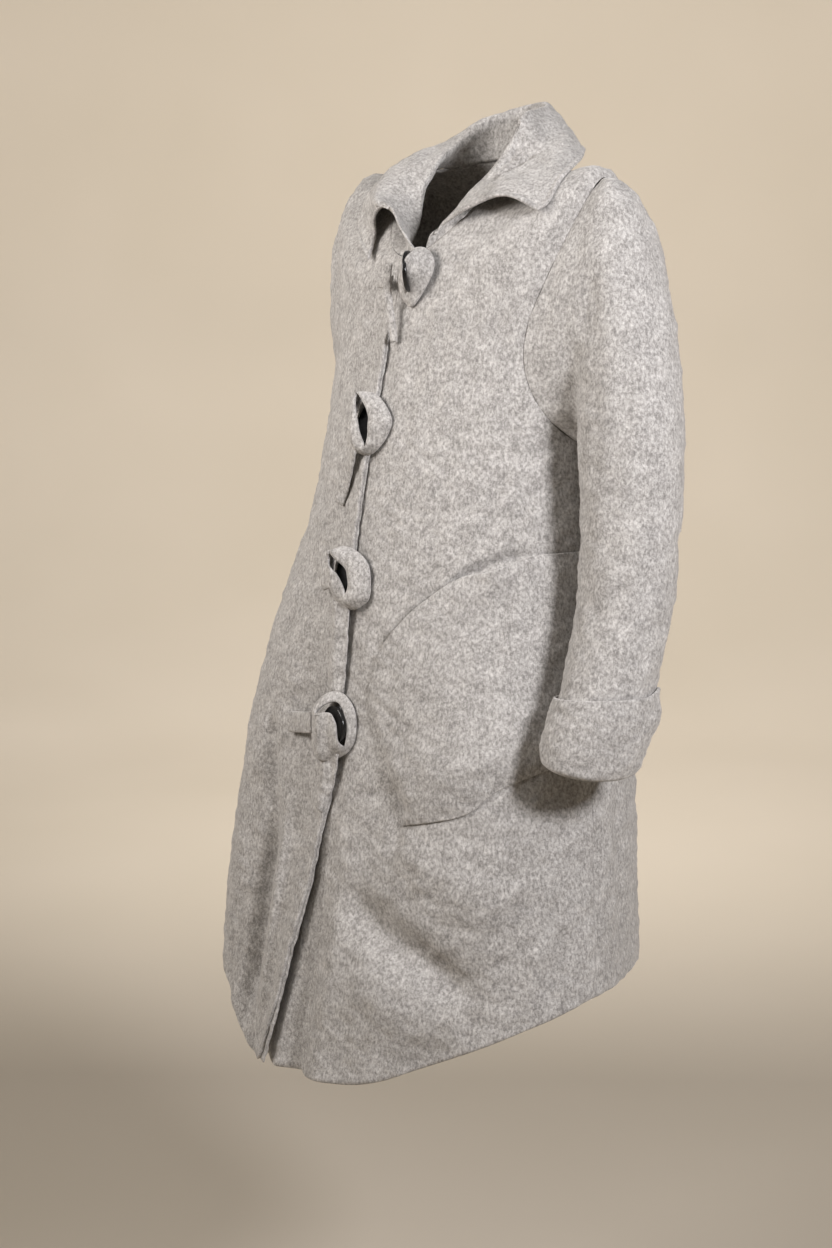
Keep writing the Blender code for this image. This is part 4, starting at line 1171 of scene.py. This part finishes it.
# %% The nap of each piece
def make_nap(name, count, seed):
    """Loose fibres that stand off one piece of cloth, as one mesh."""
    a, b, c = napped_corners(name)
    facing = np.cross(b - a, c - a)
    size = np.linalg.norm(facing, axis=1)
    drawn = np.random.default_rng(seed)
    pick = drawn.choice(len(size), count, p=size / size.sum())
    share = drawn.dirichlet((1, 1, 1), count)
    root = share[:, :1] * a[pick] + share[:, 1:2] * b[pick] + share[:, 2:] * c[pick]
    up = unit(facing[pick])
    lie = unit(np.cross(up, drawn.normal(size=(count, 3))))
    across = np.cross(up, lie)
    length, rise = drawn.uniform(*FIBRE_LONG, (count, 1)), drawn.uniform(*FIBRE_RISE, (count, 1))
    curl = drawn.normal(0, 0.35, (count, 1))
    rows = []
    for part in (0.0, 0.5, 1.0):
        middle = root + length * (part * lie + curl * part**2 * across) + rise * math.sin(1.3 * part) * up
        half = 0.5 * FIBRE_WIDE * (1 - 0.5 * part) * across
        rows += [middle - half, middle + half]
    ribbons = np.stack(rows, axis=1)
    base = 6 * np.arange(count)[:, None, None] + np.array([[0, 1, 3, 2], [2, 3, 5, 4]])
    nap = bpy.data.meshes.new(f"nap_{name}")
    nap.from_pydata(ribbons.reshape(-1, 3).tolist(), [], base.reshape(-1, 4).tolist())
    place = np.repeat(root + seed * PIECE_SHIFT, 6, axis=0)
    nap.attributes.new("wool_place", "FLOAT_VECTOR", "POINT").data.foreach_set("vector", place.ravel())
    nap.materials.append(WOOL)
    piece = bpy.data.objects.new(f"nap_{name}", nap)
    bpy.context.scene.collection.objects.link(piece)
    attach(piece, "root")
    return piece


naps = {name: make_nap(name, count, 40 + k) for k, (name, count) in enumerate(FIBRES.items())}
print("loose fibres:", sum(FIBRES.values()))

# %% [markdown]

# %% [markdown]
# ## Stage, light and camera
# A pale bowl serves as floor and backdrop from every side. A large soft light stands before the chest
# on the camera's left, and a smaller, harder one on its right lays the sleeve's shadow on the body.
# A weak one above opens the shadows, one behind the coat lights the backdrop, and the sky does the rest.

# %% Stage
FLOOR_Z = -1.52
BOWL_PROFILE = ((0.0, 0.0), (3.4, 0.0), (4.3, 0.12), (5.0, 0.45), (5.5, 1.0), (5.8, 1.8), (5.9, 4.2))
BOWL_STEPS = 96


def pale_plaster():
    """Painted studio floor: a plain warm white with a barely seen unevenness."""
    material, tree, shader = new_material("pale_plaster")
    place = add_shader_node(tree, "ShaderNodeTexCoord").outputs["Object"]
    cloud = add_shader_node(tree, "ShaderNodeTexNoise", inputs={"Vector": place, "Scale": 1.2, "Detail": 2.0})
    ramp = add_shader_node(tree, "ShaderNodeValToRGB", inputs={"Fac": cloud.outputs["Fac"]})
    colour_stops(ramp, [(0.3, hex_colour("#cfc5b5")), (0.7, hex_colour("#d4cabb"))])
    tree.links.new(ramp.outputs["Color"], shader.inputs["Base Color"])
    shader.inputs["Roughness"].default_value = 0.9
    return material


def make_bowl():
    turn = 2 * np.pi * np.arange(BOWL_STEPS) / BOWL_STEPS
    points = [(0.0, 0.0, FLOOR_Z)]
    profile = spline(np.array(BOWL_PROFILE), np.linspace(0, len(BOWL_PROFILE) - 1, 40))[1:]
    for radius, height in profile:
        points += [(radius * math.cos(t), radius * math.sin(t), FLOOR_Z + height) for t in turn]
    faces = [(0, 1 + k, 1 + (k + 1) % BOWL_STEPS) for k in range(BOWL_STEPS)]
    for r in range(len(profile) - 1):
        for k in range(BOWL_STEPS):
            a, b = 1 + r * BOWL_STEPS, 1 + (r + 1) * BOWL_STEPS
            j = (k + 1) % BOWL_STEPS
            faces.append((a + k, b + k, b + j, a + j))
    mesh = bpy.data.meshes.new("studio_bowl")
    mesh.from_pydata(points, [], faces)
    mesh.polygons.foreach_set("use_smooth", [True] * len(mesh.polygons))
    mesh.materials.append(pale_plaster())
    bowl = bpy.data.objects.new("studio_bowl", mesh)
    bpy.context.scene.collection.objects.link(bowl)


make_bowl()

# %% Light
LIGHTS = (
    # name, place, aim, size, power, colour
    ("front", (-0.40, -1.25, 0.34), (0.0, 0.0, 0.05), 0.8, 20.5, "#fffaf6"),
    ("side", (1.72, -0.25, 0.30), (0.1, 0.0, -0.10), 0.35, 34.0, "#fdfcff"),
    ("above", (0.7, -0.9, 1.8), (0.0, 0.0, -0.30), 1.2, 6.0, "#ffffff"),
    ("backdrop", (-1.6, 1.35, 1.0), (-4.6, 3.9, -0.2), 1.6, 92.0, "#fffbf6"),
)
for name, place, aim, size, power, colour in LIGHTS:
    lamp = bpy.data.lights.new(name, "AREA")
    lamp.shape, lamp.size, lamp.energy = "DISK", size, power
    lamp.color = hex_colour(colour)[:3]
    holder = bpy.data.objects.new(name, lamp)
    holder.location = place
    holder.rotation_euler = (Vector(aim) - Vector(place)).to_track_quat("-Z", "Y").to_euler()
    holder.visible_camera = False
    bpy.context.scene.collection.objects.link(holder)
world = bpy.data.worlds.new("sky")
bpy.context.scene.world = world
world.use_nodes = True
world.node_tree.nodes["Background"].inputs["Color"].default_value = hex_colour("#f4f1ee")
world.node_tree.nodes["Background"].inputs["Strength"].default_value = 0.3
bpy.context.scene.view_settings.view_transform = "Standard"

# %% Camera
AZIMUTH, DISTANCE, FOCUS_PX = math.radians(50), 2.6, 2314.0
LOOK_DOWN, LOOK_ASIDE = math.atan2(374, FOCUS_PX), math.atan2(62, FOCUS_PX)
eye = Vector((DISTANCE * math.sin(AZIMUTH), -DISTANCE * math.cos(AZIMUTH), -0.073))
ahead = Vector((-math.sin(AZIMUTH) * math.cos(LOOK_DOWN), math.cos(AZIMUTH) * math.cos(LOOK_DOWN),
                -math.sin(LOOK_DOWN)))
right = ahead.cross(Vector((0, 0, 1))).normalized()
turn = Matrix((right, right.cross(ahead), -ahead)).transposed().to_4x4()
lens = bpy.data.cameras.new("camera")
lens.lens, lens.sensor_width = FOCUS_PX * 36 / 1248, 36
camera = bpy.data.objects.new("camera", lens)
camera.matrix_world = Matrix.Translation(eye) @ Matrix.Rotation(LOOK_ASIDE, 4, "Z") @ turn
bpy.context.scene.collection.objects.link(camera)
bpy.context.scene.camera = camera
